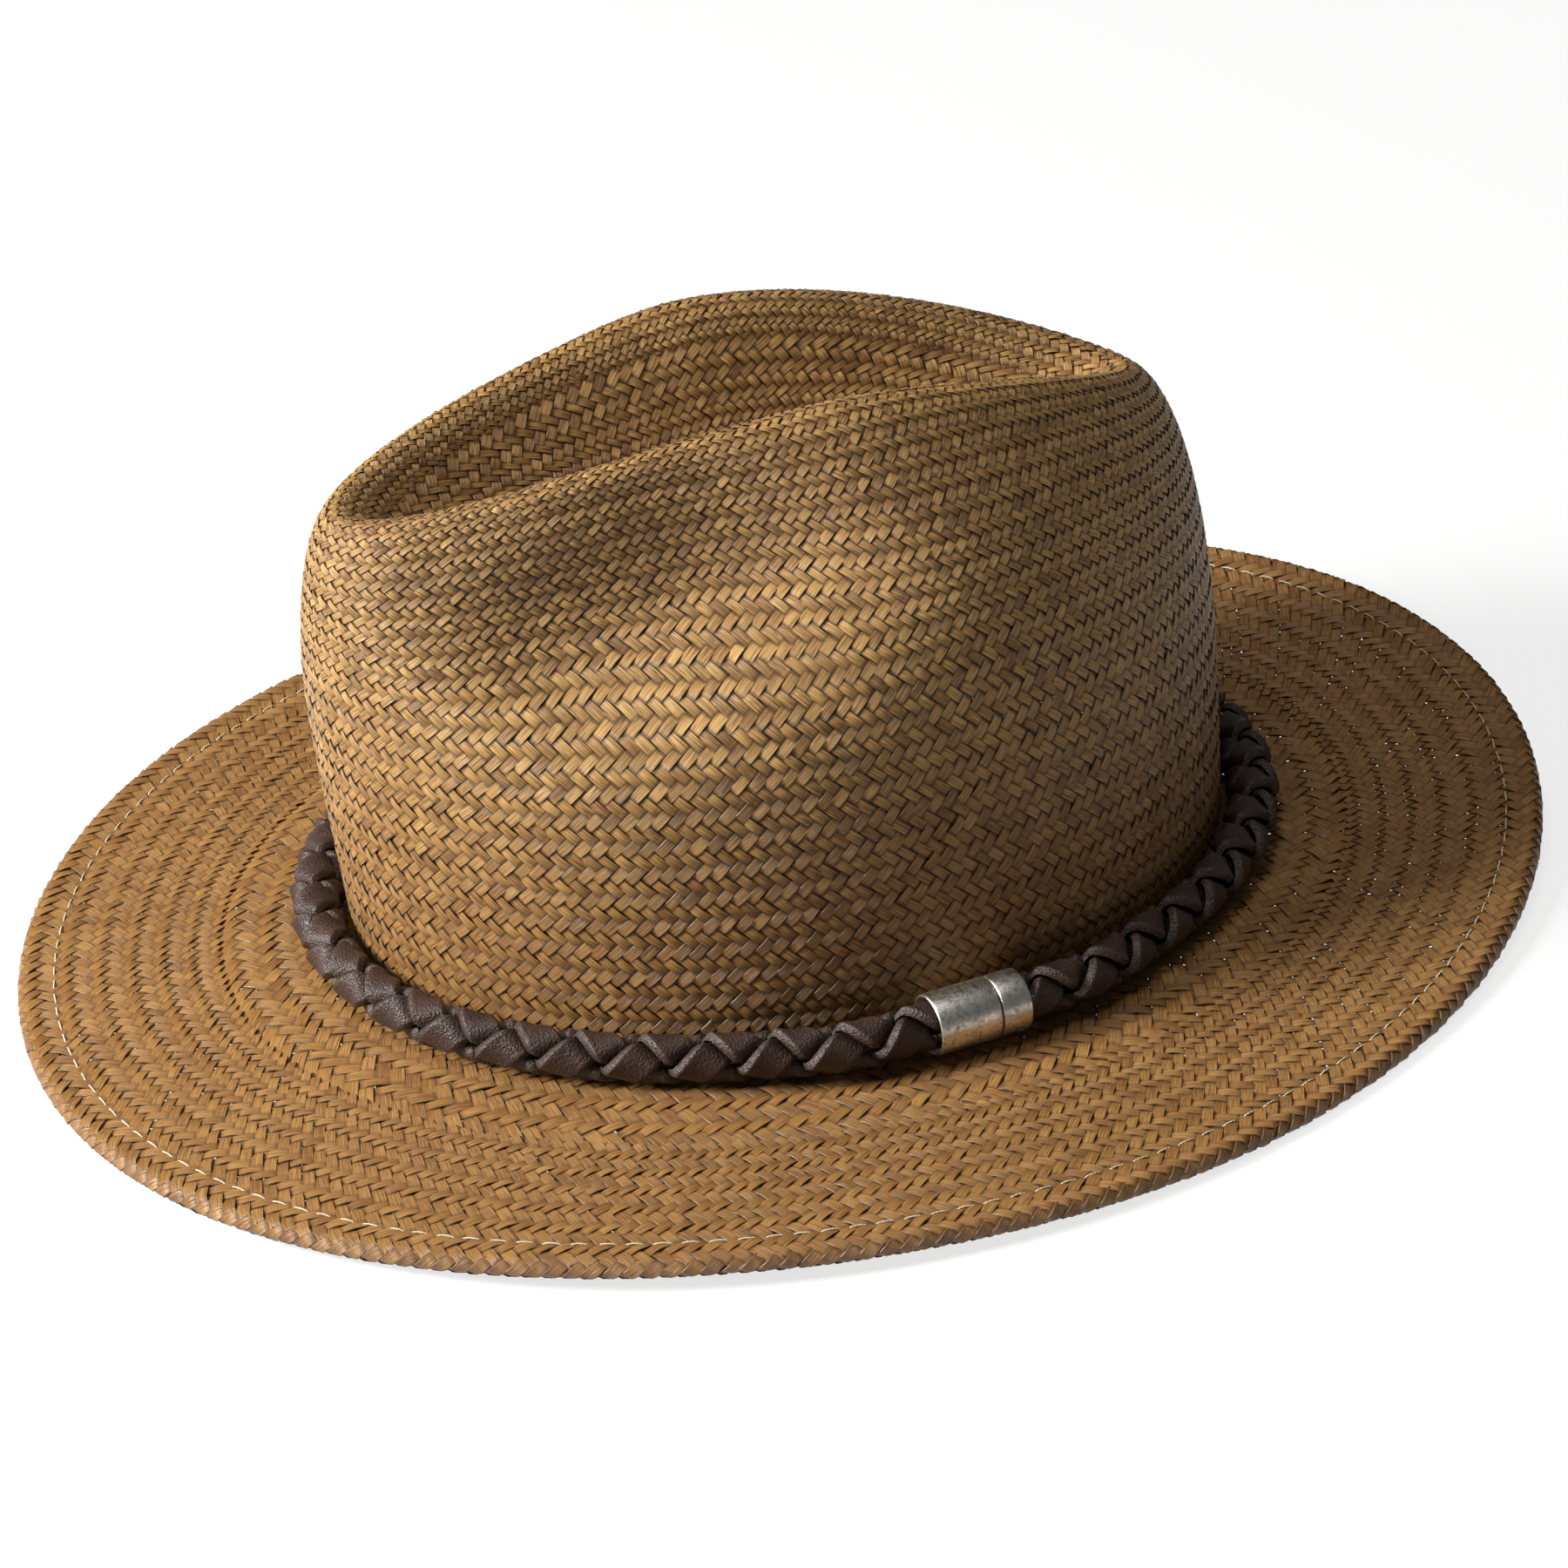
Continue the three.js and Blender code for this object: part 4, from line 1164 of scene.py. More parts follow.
def wall_points(angle, height, depth):
    """Points inside the crown at set heights, a depth in from its outer face, and the way in."""
    courses = np.linspace(FLARE_COURSE, FLARE_COURSE - WALL_SEARCH_COURSES, WALL_SEARCH_STEPS)
    walls = sheet_points(angle[:, None], courses[None, :])[..., 2]
    height = np.broadcast_to(height, (len(angle), height.shape[1]))
    course = np.stack([np.interp(h, wall, courses) for h, wall in zip(height, walls)])
    around = np.broadcast_to(angle[:, None], height.shape)
    outward = sheet_normals(around, np.minimum(course, WALL_END_COURSE))
    points = sheet_points(around, course) - outward * np.asarray(depth)[..., None]
    return stack(points[..., 0], points[..., 1], height), -outward


def leather_material(name, dark, middle, pale, roughness):
    """Vegetable-tanned leather with a fine pebble grain and soft creases, finished semi-matt.
    Gives the material, its tree, its shader, its Object coordinates, pebbles and colour too."""
    made, tree, shader, place = new_material(name)
    pebbles = add_node(tree, "ShaderNodeTexVoronoi",
                       {"Vector": place, "Scale": 1 / (PEBBLE_SIZE * MM)}, "Distance")
    cloud = add_node(tree, NOISE, {"Vector": place, "Scale": 0.09 / MM, "Detail": 4.0})
    creases = add_node(tree, NOISE,
                       {"Vector": place, "Scale": 0.42 / MM, "Detail": 4.0, "Distortion": 1.2})
    colour = layered(tree, dark, [
        (add_node(tree, RANGE, (cloud, 0.3, 0.7, 0.0, 1.0)), middle),
        (add_node(tree, RANGE, (creases, 0.55, 0.8, 0.0, 0.6)), pale),
    ])
    hollows = add_node(tree, MATH, (pebbles, -0.4), operation="MULTIPLY")
    relief = add_node(tree, MATH, (hollows, creases), operation="ADD")
    feed(tree, shader, {
        "Base Color": colour,
        "Specular IOR Level": 0.4,
        "Roughness": add_node(tree, RANGE, (creases, 0.3, 0.7, roughness, roughness + 0.16)),
        "Normal": add_node(tree, BUMP, {"Height": relief, "Distance": 0.06 * MM, "Strength": 0.5}),
    })
    return made, tree, shader, place, pebbles, colour


def make_sweatband():
    """A leather band inside the crown, with two creased lines and its seam at the back."""
    half_gap = SWEATBAND_SEAM_GAP / 2 / CROWN_HALF_WIDTH
    angle = BACK + np.linspace(half_gap, TURN - half_gap, SWEATBAND_AROUND)
    turn = (np.arange(2 * SWEATBAND_FACE_POINTS) + 1 / 2) * math.pi / SWEATBAND_FACE_POINTS
    rise = SWEATBAND_HEIGHT * (1 - np.cos(turn)) / 2
    from_edge = SWEATBAND_HEIGHT / 2 - np.abs(rise - SWEATBAND_HEIGHT / 2)
    edge_round = np.clip(from_edge, 0, 1 / 2)
    half = SWEATBAND_THICKNESS / 2 * np.sqrt(1 - (1 - 2 * edge_round) ** 2 * SWEATBAND_EDGE_SHARE)
    from_groove = (rise - SWEATBAND_STITCH_RISE) / STITCH_GROOVE_WIDTH
    marks = STITCH_GROOVE_DEPTH * np.exp(-from_groove ** 2)
    for place in (CREASE_RISE, CREASE_RISE + CREASE_GAP):
        marks = marks + CREASE_DEPTH * np.exp(-((rise - place) / CREASE_WIDTH) ** 2)
    middle = (SWEATBAND_OUTER_DEPTH + SWEATBAND_INNER_DEPTH) / 2
    inside = turn < math.pi
    depth = np.where(inside, middle + half - marks, middle - half)
    height = (SWEATBAND_LIFT + rise)[None, :]
    points, _ = wall_points(angle, height, depth[None, :])
    material = leather_material("sweatband_leather", dark="#4e3623", middle="#64462e",
                                pale="#7b5a3c", roughness=0.5)[0]
    piece = tube_object("sweatband_leather", points, False, material)
    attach(piece, "hat")
    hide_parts("sweatband")


def ring_cord(name, points, radius, sides, material):
    """A closed round cord along points round the hat."""
    along = unit(np.roll(points, -1, axis=0) - np.roll(points, 1, axis=0))
    side = unit(np.cross(along, [0, 0, 1]))
    up = np.cross(side, along)
    turn = ring_angles(sides)[None, :, None]
    rings = points[:, None] + radius * (side[:, None] * np.cos(turn) + up[:, None] * np.sin(turn))
    return tube_object(name, rings, True, material)


def reed_material():
    """Extruded natural polyethylene reed, slightly waxy, with fine drawing lines."""
    made, tree, shader, place = new_material("extruded_reed_plastic")
    lines = add_node(tree, NOISE, {"Vector": place, "Scale": 1.5 / MM, "Detail": 2.0})
    feed(tree, shader, {
        "Base Color": layered(tree, "#c3b592", [(lines, "#d8ccb0")]),
        "Roughness": 0.42,
        "Subsurface Weight": 0.05,
        "Normal": add_node(tree, BUMP, {"Height": lines, "Distance": 0.02 * MM, "Strength": 0.4}),
    })
    return made


def make_reed():
    """The plastic reed under the sweatband's edge, against the inside of the flare."""
    angle = ring_angles(SWEATBAND_AROUND)
    radius = FLARE_RADIUS + STRAW_THICKNESS + CONTACT_GAP + REED_RADIUS
    reach = FLARE_RADIUS - radius * math.cos(math.pi / 4)
    height = FLARE_RADIUS - radius * math.sin(math.pi / 4)
    points = BrimRay(angle).at(np.full(len(angle), reach), height)
    piece = ring_cord("sweatband_reed_round", points, REED_RADIUS, REED_SIDES, reed_material())
    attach(piece, "hat")
    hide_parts("sweatband_reed")


BOW_HALF_WIDTH = 10.8
BOW_HALF_HEIGHT = 4.4
BOW_WAIST = 1.5
BOW_LOOP_DEPTH = 0.5
BOW_RIBBON_THICKNESS = 0.4
BOW_PLEAT = 0.16
BOW_KNOT_HALF_WIDTH = 1.7
BOW_KNOT_HALF_DEPTH = 0.85
BOW_KNOT_HALF_HEIGHT = 2.1
BOW_STEPS = 40
BOW_WIDTH_STEPS = 17
BOW_FLARE_POWER = 0.7
BOW_PLEATS = 3
KNOT_SIDES = 16
KNOT_CORNER_POWER = 3
KNOT_RINGS = 9
KNOT_BULGE = 0.8
RIB_PITCH = 0.75


def ribbon_material():
    """Woven grosgrain: close ribs across the ribbon, with a soft sheen."""
    made, tree, shader, place = new_material("grosgrain_ribbon")
    along = add_node(tree, "ShaderNodeAttribute", output="Fac", attribute_name="along")
    turned = add_node(tree, MATH, (along, TURN / RIB_PITCH), operation="MULTIPLY")
    rib = add_node(tree, MATH, (turned,), operation="SINE")
    weave = add_node(tree, NOISE, {"Vector": place, "Scale": 2.5 / MM, "Detail": 3.0})
    colour = layered(tree, "#241812", [
        # painted shade: the ribbon is lighter on its ribs and darker in the grooves between them
        (add_node(tree, RANGE, (rib, -1.0, 1.0, 0.0, 1.0)), "#45332a"),
        (add_node(tree, RANGE, (weave, 0.4, 0.7, 0.0, 0.4)), "#5a463a"),
    ])
    feed(tree, shader, {
        "Base Color": colour,
        "Roughness": 0.7,
        "Sheen Weight": 0.06,
        "Normal": add_node(tree, BUMP, {"Height": rib, "Distance": 0.12 * MM, "Strength": 0.8}),
    })
    return made


def bow_loop(side):
    """One loop of the bow: a ribbon that leaves the knot, turns over and comes back."""
    turn = ring_angles(BOW_STEPS)[:, None]
    across = np.linspace(-1, 1, BOW_WIDTH_STEPS)[None, :]
    out = (1 - np.cos(turn)) / 2
    x = side * (BOW_WAIST / 2 + (BOW_HALF_WIDTH - BOW_WAIST / 2) * out)
    half = BOW_WAIST + (BOW_HALF_HEIGHT - BOW_WAIST) * out**BOW_FLARE_POWER
    pleat = BOW_PLEAT * np.cos(across * BOW_PLEATS * math.pi) * (1 - out)
    y = BOW_LOOP_DEPTH * np.sin(turn) + pleat
    return stack(x, y, across * half), BOW_HALF_WIDTH * np.broadcast_to(turn / math.pi, y.shape)


def make_bow_loops(centre, material):
    """Both loops of the bow, as one ribbon with its thickness."""
    sides = [bow_loop(side) for side in (1, -1)]
    faces = []
    for start in (0, BOW_STEPS * BOW_WIDTH_STEPS):
        for i in range(BOW_STEPS):
            k = (i + 1) % BOW_STEPS
            for j in range(BOW_WIDTH_STEPS - 1):
                a = start + i * BOW_WIDTH_STEPS + j
                b = start + k * BOW_WIDTH_STEPS + j
                faces.append((a, b, b + 1, a + 1))
    points = np.concatenate([loop.reshape(-1, 3) for loop, _ in sides])
    data = bpy.data.meshes.new("ribbon_bow")
    data.from_pydata(to_row(points + centre).tolist(), [], faces)
    give(data, "along", np.concatenate([along.ravel() for _, along in sides]))
    data.shade_smooth()
    data.materials.append(material)
    loops = new_object("ribbon_bow", data)
    thicken = loops.modifiers.new("thickness", "SOLIDIFY")
    thicken.thickness = BOW_RIBBON_THICKNESS * MM
    thicken.offset = 0
    return plain_mesh(loops)


def make_bow():
    """A flat ribbon bow over the sweatband's seam."""
    low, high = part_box("sweatband_bow")
    middle = (np.array(low) + np.array(high)) / 2
    centre = (middle / MM - SHIFT) @ TILT
    material = ribbon_material()
    loops = make_bow_loops(centre, material)
    u, v = superellipse(KNOT_SIDES, KNOT_CORNER_POWER)
    rise = np.linspace(-1, 1, KNOT_RINGS)[:, None]
    bulge = np.sqrt(np.clip(1 - rise**2 * KNOT_BULGE, 0, 1))
    knot = stack(u * BOW_KNOT_HALF_WIDTH * bulge, v * BOW_KNOT_HALF_DEPTH * bulge,
                 rise * BOW_KNOT_HALF_HEIGHT)
    tie = tube_object("ribbon_knot", knot + centre, False, material,
                      {"along": rise * BOW_KNOT_HALF_HEIGHT})
    for piece in (loops, tie):
        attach(piece, "hat")
        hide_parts("sweatband_bow")


# Braided band

BRAID_RADIUS = 5.6
BAND_LOOSENESS = 1.5
BRAID_FIT = 0.6
CLASP_WALL = 0.6
CLASP_WEB = 1.4
SOCKET_CUP_DEPTH = 9.0
PLUG_CUP_DEPTH = 4.5
MAGNET_RADIUS = 4.0
MAGNET_THICKNESS = 2.2
SPIGOT_LENGTH = 1.4
SPIGOT_WALL = 0.9
CLASP_TURN = math.radians(-3.5)
CLASP_STRAIGHT_SHARE = 1.5
CUP_RADIUS = BRAID_RADIUS + BRAID_FIT
SPIGOT_RADIUS = MAGNET_RADIUS + CONTACT_GAP + SPIGOT_WALL
CLASP_RADIUS = max(CUP_RADIUS, SPIGOT_RADIUS + CONTACT_GAP) + CLASP_WALL
SOCKET_LENGTH = SOCKET_CUP_DEPTH + CLASP_WEB + MAGNET_THICKNESS + SPIGOT_LENGTH + 2 * CONTACT_GAP
PLUG_WEB = MAGNET_THICKNESS + CONTACT_GAP + CLASP_WEB - SPIGOT_LENGTH
PLUG_LENGTH = PLUG_CUP_DEPTH + PLUG_WEB
CLASP_LENGTH = SOCKET_LENGTH + CONTACT_GAP + PLUG_LENGTH
SOCKET_MOUTH = -CLASP_LENGTH / 2
PARTING_PLANE = SOCKET_MOUTH + SOCKET_LENGTH
PLUG_MOUTH = CLASP_LENGTH / 2
BAND_PATH_STEPS = 2400
BAND_PATH_STEP = 0.5
TANGENT_TURN = 0.001


def loose_oval(angle, radius):
    """Points of the oval at the break, moved out by the looseness and a radius."""
    across = np.cos(angle) / CROWN_HALF_WIDTH
    along = np.sin(angle) / CROWN_HALF_LENGTH
    oval = stack(CROWN_HALF_WIDTH * np.cos(angle), CROWN_HALF_LENGTH * np.sin(angle), 0)
    way = unit(stack(across, along, 0))
    return oval + way * np.asarray(radius + BAND_LOOSENESS)[..., None]


def band_points(angle):
    """The middle line of the braid, which runs straight through the clasp."""
    straight_reach = CLASP_STRAIGHT_SHARE * CLASP_LENGTH / CROWN_HALF_LENGTH
    away = 2 * np.sin((angle - CLASP_TURN) / 2)
    near = np.exp(-((away / straight_reach) ** 4))[..., None]
    middle = loose_oval(CLASP_TURN, CLASP_RADIUS)
    ahead = (loose_oval(CLASP_TURN + TANGENT_TURN, CLASP_RADIUS) - middle) / TANGENT_TURN
    straight = middle + ahead * np.sin(angle - CLASP_TURN)[..., None]
    radius = BRAID_RADIUS + (CLASP_RADIUS - BRAID_RADIUS) * near[..., 0]
    points = loose_oval(angle, BRAID_RADIUS)
    points = points + (straight - points) * near
    brim = np.maximum(0, BrimRay(angle).top(2 * radius + BAND_LOOSENESS))
    return stack(points[..., 0], points[..., 1], brim + radius + CONTACT_GAP)


def band_path():
    """The braid's middle line by length, from the middle of the clasp."""
    points = band_points(CLASP_TURN + np.linspace(0, TURN, BAND_PATH_STEPS + 1))
    steps = np.linalg.norm(np.diff(points, axis=0), axis=-1)
    return points, np.concatenate([[0], np.cumsum(steps)])


BAND_POINTS, BAND_WALKED = band_path()
BAND_LENGTH = BAND_WALKED[-1]


def on_band(walked):
    """Points of the braid's middle line, and the ways aside and up from it."""
    def at(place):
        """The points at some distances along the band."""
        place = place % BAND_LENGTH
        return np.stack([np.interp(place, BAND_WALKED, BAND_POINTS[:, i]) for i in range(3)], -1)

    along = unit(at(walked + BAND_PATH_STEP) - at(walked - BAND_PATH_STEP))
    side = unit(np.cross(along, [0, 0, 1]))
    return at(walked), side, np.cross(side, along)


LACE_TURN = TURN / 28          # of the braid's spiral, for each millimetre of its length
LACE_HALF_TURN = 1.14          # a lace's half width, as a turn across its spiral
LACE_MIDDLE_RADIUS = 3.5
LACE_SWING = 1.3               # of a lace out and in as it passes over and under
LACE_HALF_THICKNESS = 0.85
LACE_EDGE_SLOPE = 0.19         # a cut edge leans out by this share of the half width
LACE_CUP = 0.6                 # a lace's edges stand off the round, as a flat strip's do
LACE_RAISE = 0.5               # a lace's edge nearer the braid's start stands on the last lace
LACE_SIDES = 20
LACE_CORNER_POWER = 9
LACE_STEP = 0.2
SWING_SHARPNESS = 0.18
SOCKET_LACE_DEPTH = 7.5
PLUG_LACE_DEPTH = 3.6
BLEND_LENGTH = 56.0


def lace_rings(hand, number, start, end):
    """The rings of one lace between two places along the band. Hand 1 turns with the clock."""
    u, v = superellipse(LACE_SIDES, LACE_CORNER_POWER)
    first = math.floor(2 * LACE_TURN * start / LACE_STEP)
    last = math.floor(2 * LACE_TURN * end / LACE_STEP)
    way = (np.arange(first, last + 1) * LACE_STEP)[:, None]
    across = LACE_HALF_TURN * (u * (1 - LACE_EDGE_SLOPE * v))[None, :]
    turn = hand * way / 2 + across / 2 + number * math.pi
    walked = (way - hand * across) / (2 * LACE_TURN)
    phase = np.cos(way + number * math.pi)
    swing = phase / np.sqrt(phase**2 + SWING_SHARPNESS) * math.sqrt(1 + SWING_SHARPNESS)
    over = hand * (-1) ** number * swing
    lift = LACE_CUP * (u**2 - 1 / 2) + LACE_RAISE * hand * u
    radius = LACE_MIDDLE_RADIUS + LACE_SWING * over + (LACE_HALF_THICKNESS * v + lift)[None, :]
    centre, side, up = on_band(walked)
    points = centre + radius[..., None] * (
        side * np.cos(turn)[..., None] + up * np.sin(turn)[..., None])
    return points, {"across": u}


def lace_material():
    """Chrome-tanned cowhide lace, dark brown with a waxed grain side. Its cut edges show the
    rough greyish fibre, and the grain is stretched into fine wrinkles along the lace."""
    made, tree, shader, place, pebbles, colour = leather_material(
        "braided_cowhide_lace", dark="#33241e", middle="#45322a", pale="#56423b", roughness=0.33)
    across = add_node(tree, "ShaderNodeAttribute", output="Fac", attribute_name="across")
    side = add_node(tree, MATH, (across,), operation="ABSOLUTE")
    edge = add_node(tree, RANGE, (side, 0.92, 0.96, 0.0, 1.0))
    fibre = add_node(tree, NOISE, {"Vector": place, "Scale": 2.2 / MM, "Detail": 3.0})
    fibre_share = add_node(tree, RANGE, (fibre, 0.35, 0.65, 0.0, 1.0))
    cut = layered(tree, "#2b1f1a", [(fibre_share, "#4f3f36")])
    grain = add_node(tree, MATH, (fibre, pebbles), operation="SUBTRACT")
    feed(tree, shader, {
        "Base Color": add_node(tree, MIX, {"Factor": edge, "A": colour, "B": cut}, "Result",
                               data_type="RGBA"),
        "Normal": add_node(tree, BUMP, {"Height": grain, "Distance": 0.18 * MM, "Strength": 1.0}),
    })
    return made


def make_braid():
    """Four leather laces plaited round, each a long piece on the band and a tail near the plug."""
    material = lace_material()
    parting = PLUG_MOUTH + BLEND_LENGTH
    end = BAND_LENGTH + SOCKET_MOUTH + SOCKET_LACE_DEPTH
    blend_start = to_row(on_band(np.array(parting))[0])
    blend_end = to_row(on_band(np.array(PLUG_MOUTH))[0])
    lace = 0
    for hand in (1, -1):
        for number in (0, 1):
            lace += 1
            points, numbers = lace_rings(hand, number, parting, end)
            long = tube_object(f"leather_lace_{lace}", points, False, material, numbers)
            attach(long, "band")
            start = PLUG_MOUTH - PLUG_LACE_DEPTH
            points, numbers = lace_rings(hand, number, start, parting)
            tail = tube_object(f"leather_lace_{lace}_tail", points, False, material, numbers)
            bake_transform(tail)
            for piece in (long, tail):
                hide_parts("braided_band")


# Clasp

CLASP_SIDES = 96
CLASP_BEVEL = 0.14
CLASP_CHAMFER = 0.3
MERGE_DISTANCE = 0.001


def silver_material():
    """Zinc casting with antiqued silver plate: worn bright, mottled, darker in its hollows."""
    made, tree, shader, place = new_material("antique_silver_plate")
    mottle = add_node(tree, NOISE,
                      {"Vector": place, "Scale": 0.9 / MM, "Detail": 5.0, "Roughness": 0.65})
    cloud = add_node(tree, NOISE, {"Vector": place, "Scale": 0.16 / MM, "Detail": 3.0})
    pits = add_node(tree, NOISE, {"Vector": place, "Scale": 1.7 / MM, "Detail": 2.0})
    colour = layered(tree, "#d8d2c5", [
        (add_node(tree, RANGE, (cloud, 0.35, 0.65, 0.0, 1.0)), "#f0ece3"),
        (add_node(tree, RANGE, (mottle, 0.52, 0.66, 0.0, 0.75)), "#857e6e"),
    ])
    small_pits = add_node(tree, MATH, (pits, 0.4), operation="MULTIPLY")
    dents = add_node(tree, MATH, (mottle, small_pits), operation="ADD")
    feed(tree, shader, {
        "Base Color": colour,
        "Metallic": 1.0,
        "Roughness": add_node(tree, RANGE, (mottle, 0.35, 0.65, 0.26, 0.5)),
        "Normal": add_node(tree, BUMP, {"Height": dents, "Distance": 0.08 * MM, "Strength": 0.8}),
    })
    return made


def turned_piece(name, profile, start, body, node, material):
    """A turned piece of the clasp from its profile of radius and length."""
    middle = band_points(np.array(CLASP_TURN))
    pull = next(j for j in frame["joints"] if j["name"] == "clasp_pull")
    along = np.array(pull["axis"]) @ TILT
    side = unit(np.cross(along, [0, 0, 1]))
    up = np.cross(side, along)
    turn = ring_angles(CLASP_SIDES)[:, None, None]
    radius, length = np.array(profile).T
    way = side * np.cos(turn) + up * np.sin(turn)
    points = middle + along * (start + length)[None, :, None] + way * radius[None, :, None]
    piece = tube_object(name, points, True, material)
    face_outwards(piece.data, MERGE_DISTANCE * MM)
    bevel = piece.modifiers.new("edges", "BEVEL")
    bevel.width = CLASP_BEVEL * MM
    bevel.segments = 2
    bevel.limit_method = "ANGLE"
    plain_mesh(piece)
    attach(piece, body)
    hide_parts(node)


def make_clasp():
    """The clasp's two halves, each turned about its own middle line."""
    material = silver_material()
    recess = SPIGOT_RADIUS + CONTACT_GAP
    spigot_floor = SOCKET_LENGTH - SPIGOT_LENGTH - CONTACT_GAP
    magnet_floor = SOCKET_CUP_DEPTH + CLASP_WEB
    socket = [
        (0, SOCKET_CUP_DEPTH),
        (CUP_RADIUS, SOCKET_CUP_DEPTH),
        (CUP_RADIUS, 0),
        (CLASP_RADIUS - CLASP_CHAMFER, 0),
        (CLASP_RADIUS, CLASP_CHAMFER),
        (CLASP_RADIUS, SOCKET_LENGTH - CLASP_CHAMFER),
        (CLASP_RADIUS - CLASP_CHAMFER, SOCKET_LENGTH),
        (recess, SOCKET_LENGTH),
        (recess, spigot_floor),
        (MAGNET_RADIUS + CONTACT_GAP, spigot_floor),
        (MAGNET_RADIUS + CONTACT_GAP, magnet_floor),
        (0, magnet_floor),
    ]
    plug_floor = MAGNET_THICKNESS + CONTACT_GAP - SPIGOT_LENGTH
    plug = [
        (0, plug_floor),
        (MAGNET_RADIUS + CONTACT_GAP, plug_floor),
        (MAGNET_RADIUS + CONTACT_GAP, -SPIGOT_LENGTH),
        (SPIGOT_RADIUS, -SPIGOT_LENGTH),
        (SPIGOT_RADIUS, 0),
        (CLASP_RADIUS - CLASP_CHAMFER, 0),
        (CLASP_RADIUS, CLASP_CHAMFER),
        (CLASP_RADIUS, PLUG_LENGTH - CLASP_CHAMFER),
        (CLASP_RADIUS - CLASP_CHAMFER, PLUG_LENGTH),
        (CUP_RADIUS, PLUG_LENGTH),
        (CUP_RADIUS, PLUG_WEB),
        (0, PLUG_WEB),
    ]
    turned_piece("clasp_socket_cup", socket, SOCKET_MOUTH, "band", "clasp_socket", material)
    turned_piece("clasp_plug_cup", plug, PARTING_PLANE + CONTACT_GAP, "clasp_half",
                 "clasp_plug", material)


def metal_material(name, dark, pale, roughness):
    """Bare or plated steel with fine drawing marks."""
    made, tree, shader, place = new_material(name)
    marks = add_node(tree, NOISE, {"Vector": place, "Scale": 1.2 / MM, "Detail": 3.0})
    feed(tree, shader, {
        "Base Color": layered(tree, dark, [(marks, pale)]),
        "Metallic": 1.0,
        "Roughness": add_node(tree, RANGE, (marks, 0.3, 0.7, roughness, roughness + 0.12)),
        "Normal": add_node(tree, BUMP, {"Height": marks, "Distance": 0.01 * MM, "Strength": 0.4}),
    })
    return made


def dress_kept_nodes():
    """The wire inside the edge and the clasp's magnets keep their CAD shape."""
    wire = metal_material("drawn_spring_steel", dark="#77797b", pale="#9c9ea0", roughness=0.34)
    nickel = metal_material("nickel_plated_magnet", dark="#8e8d89", pale="#b4b3ad", roughness=0.24)
    for name, finish in (("brim_edge_wire", wire), ("socket_magnet", nickel),
                         ("plug_magnet", nickel)):
        data = frame["nodes"][name].data
        data.materials.clear()
        data.materials.append(finish)


make_stitches()
make_sweatband()
make_reed()
make_bow()
make_braid()
make_clasp()
dress_kept_nodes()


# Floor and light

WHITE = (1, 1, 1, 1)
FLOOR_HALF_WIDTH = 4.0         # in metres, as are a lamp's distance, size and aim
FLOOR_GLOW_SHARE = 0.75        # of the floor that the camera sees; the rest takes the shadow
CROWN_DARK_RADIUS = 85.0       # of the floor within the crown, where it has no glow
CROWN_DARK_END = 110.0
WORLD_STRENGTH = 0.08
LAMP_AIM = Vector((0, 0, 0.06))


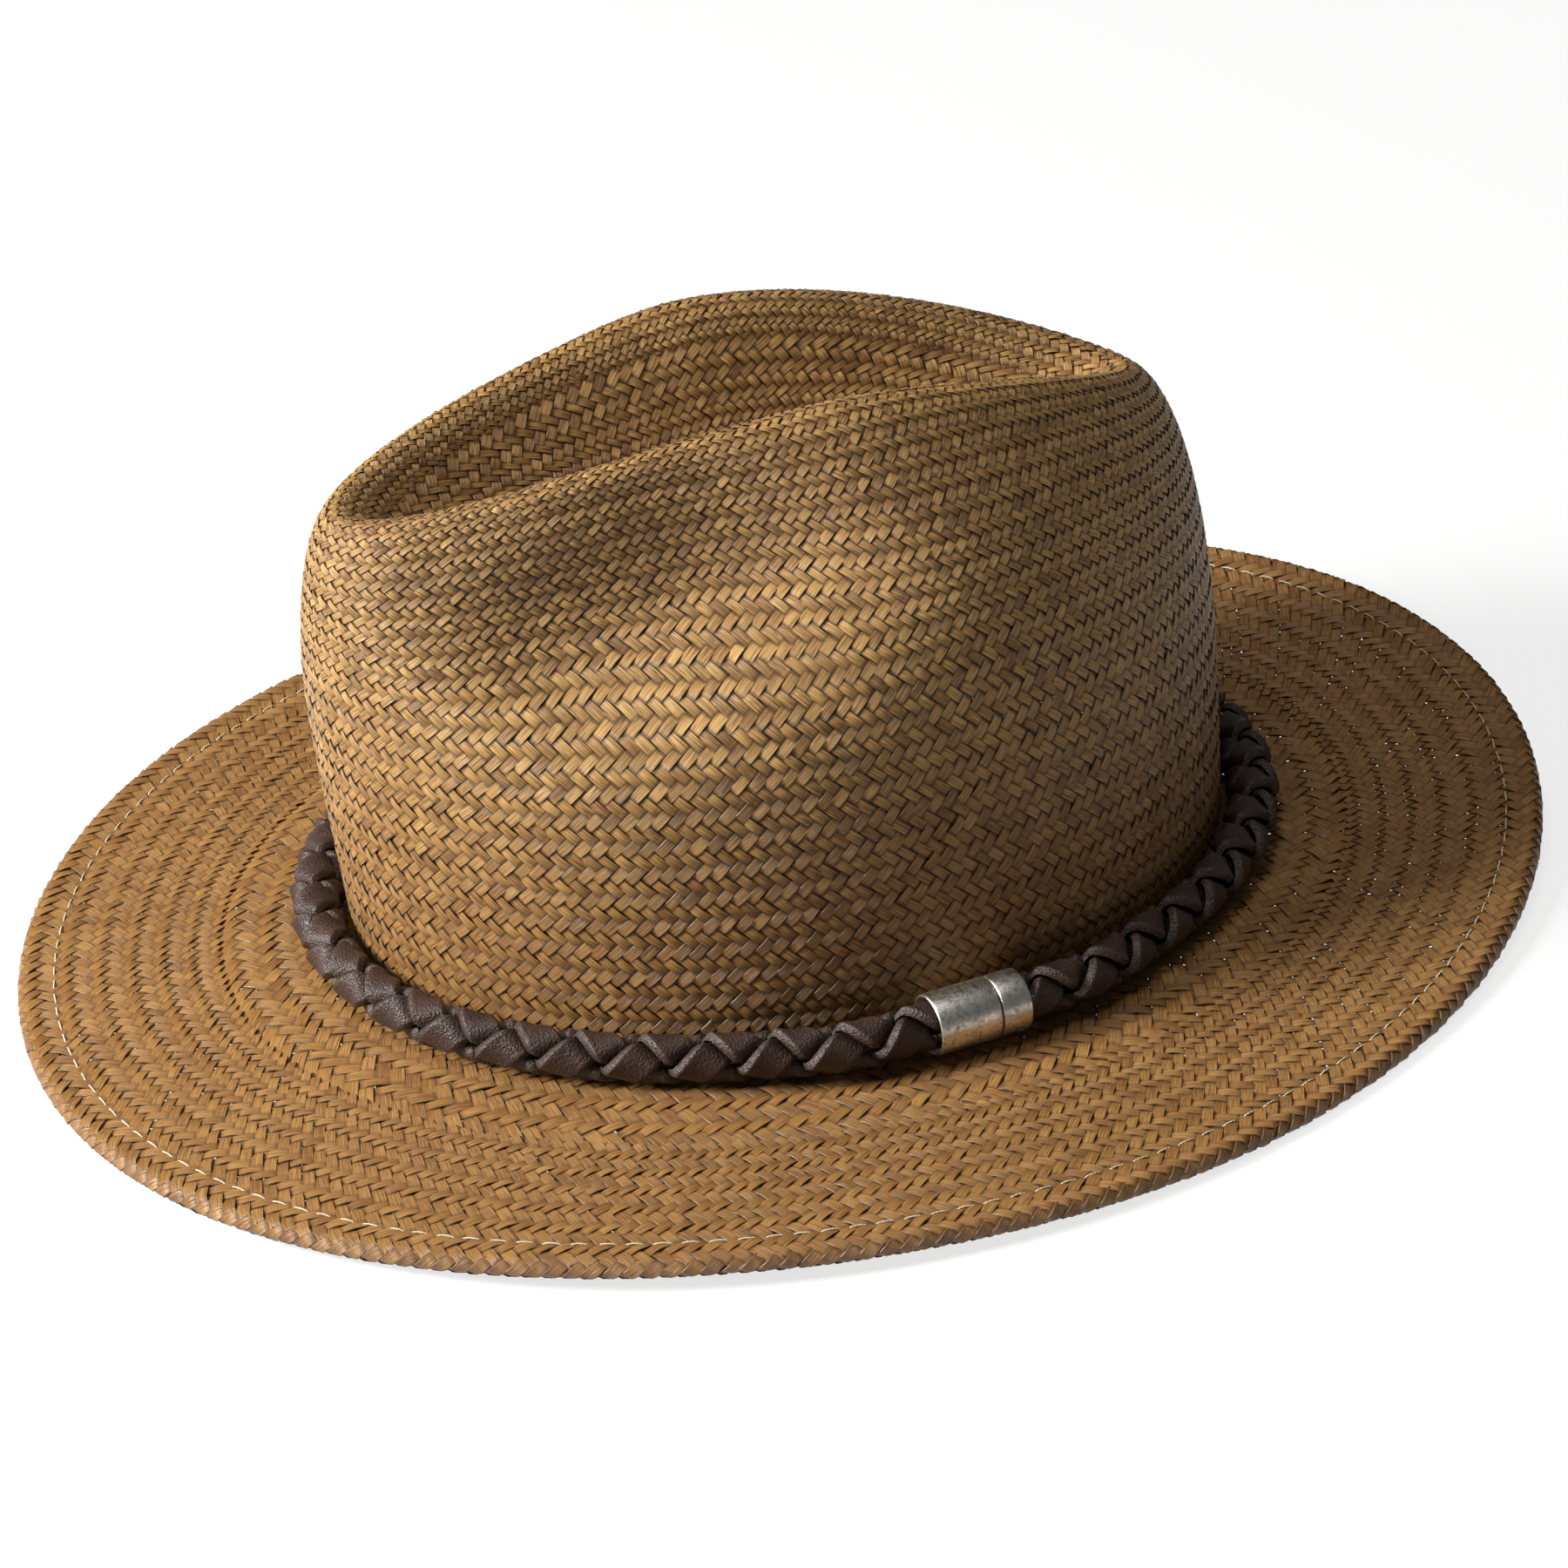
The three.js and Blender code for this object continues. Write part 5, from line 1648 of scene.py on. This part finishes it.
def floor_material():
    """Matt paper, grey as the hat is lit by it. The camera sees it white, with a soft shadow,
    but for the paper inside the crown, which lies in its dark."""
    made, tree, shader, place = new_material("white_paper_sweep")
    fibre = add_node(tree, NOISE, {"Vector": place, "Scale": 0.9 / MM, "Detail": 3.0})
    fibre_share = add_node(tree, RANGE, (fibre, 0.3, 0.7, 0.0, 1.0))
    pale = layered(tree, "#f4f4f2", [(fibre_share, "#fbfbfa")])
    rays = add_node(tree, "ShaderNodeLightPath").node.outputs
    seen = add_node(tree, MATH, (rays["Is Camera Ray"], rays["Is Glossy Ray"]), operation="MAXIMUM")
    seen = add_node(tree, MATH, (seen, rays["Is Transmission Ray"]), operation="MAXIMUM")
    colour = add_node(tree, MIX, {"Factor": seen, "A": linear("#8c8c8c"), "B": pale}, "Result",
                      data_type="RGBA")
    feed(tree, shader, {"Base Color": colour, "Roughness": 0.9, "Specular IOR Level": 0.1})
    out = add_node(tree, VECTOR_MATH, (place,), "Value", operation="LENGTH")
    glow_share = add_node(tree, RANGE,
                          (out, CROWN_DARK_RADIUS * MM, CROWN_DARK_END * MM, 0.0, FLOOR_GLOW_SHARE))
    share = add_node(tree, MATH, (seen, glow_share), operation="MULTIPLY")
    glow = add_node(tree, "ShaderNodeEmission", {"Color": WHITE, "Strength": 1.0})
    both = add_node(tree, "ShaderNodeMixShader", (share, shader.outputs[0], glow))
    feed(tree, tree.nodes["Material Output"], {"Surface": both})
    return made


def make_floor():
    """A large floor under the hat. It is staged and is no part of the hat."""
    data = bpy.data.meshes.new("floor")
    corners = [(x * FLOOR_HALF_WIDTH, y * FLOOR_HALF_WIDTH, 0)
               for x, y in ((-1, -1), (1, -1), (1, 1), (-1, 1))]
    data.from_pydata(corners, [], [(0, 1, 2, 3)])
    data.materials.append(floor_material())
    floor = new_object("floor", data)


def make_world():
    """A faint even light all round. The camera sees it white."""
    world = bpy.data.worlds.new("studio")
    bpy.context.scene.world = world
    world.use_nodes = True
    tree = world.node_tree
    soft = tree.nodes["Background"]
    feed(tree, soft, {"Color": WHITE, "Strength": WORLD_STRENGTH})
    white = add_node(tree, "ShaderNodeBackground", {"Color": WHITE, "Strength": 1.0})
    rays = add_node(tree, "ShaderNodeLightPath").node.outputs
    seen = add_node(tree, MATH, (rays["Is Camera Ray"], rays["Is Transmission Ray"]),
                    operation="MAXIMUM")
    both = add_node(tree, "ShaderNodeMixShader", (seen, soft.outputs[0], white))
    feed(tree, tree.nodes["World Output"], {"Surface": both})


def make_lamp(name, azimuth, elevation, distance, size, power):
    """A square soft box that faces the hat. Azimuth is measured as the camera's is."""
    data = bpy.data.lights.new(name, "AREA")
    data.shape = "SQUARE"
    data.size = size
    data.energy = power
    a = math.radians(azimuth)
    e = math.radians(elevation)
    back = Vector((math.sin(a) * math.cos(e), -math.cos(a) * math.cos(e), math.sin(e)))
    lamp = new_object(name, data)
    lamp.location = back * distance + LAMP_AIM
    lamp.rotation_euler = back.to_track_quat("Z", "Y").to_euler()


make_floor()
make_world()
make_lamp("key_light", azimuth=-14, elevation=31, distance=1.6, size=0.5, power=53.0)
make_lamp("top_light", azimuth=20, elevation=80, distance=1.8, size=0.9, power=11.0)
bpy.context.scene.view_settings.view_transform = "Standard"
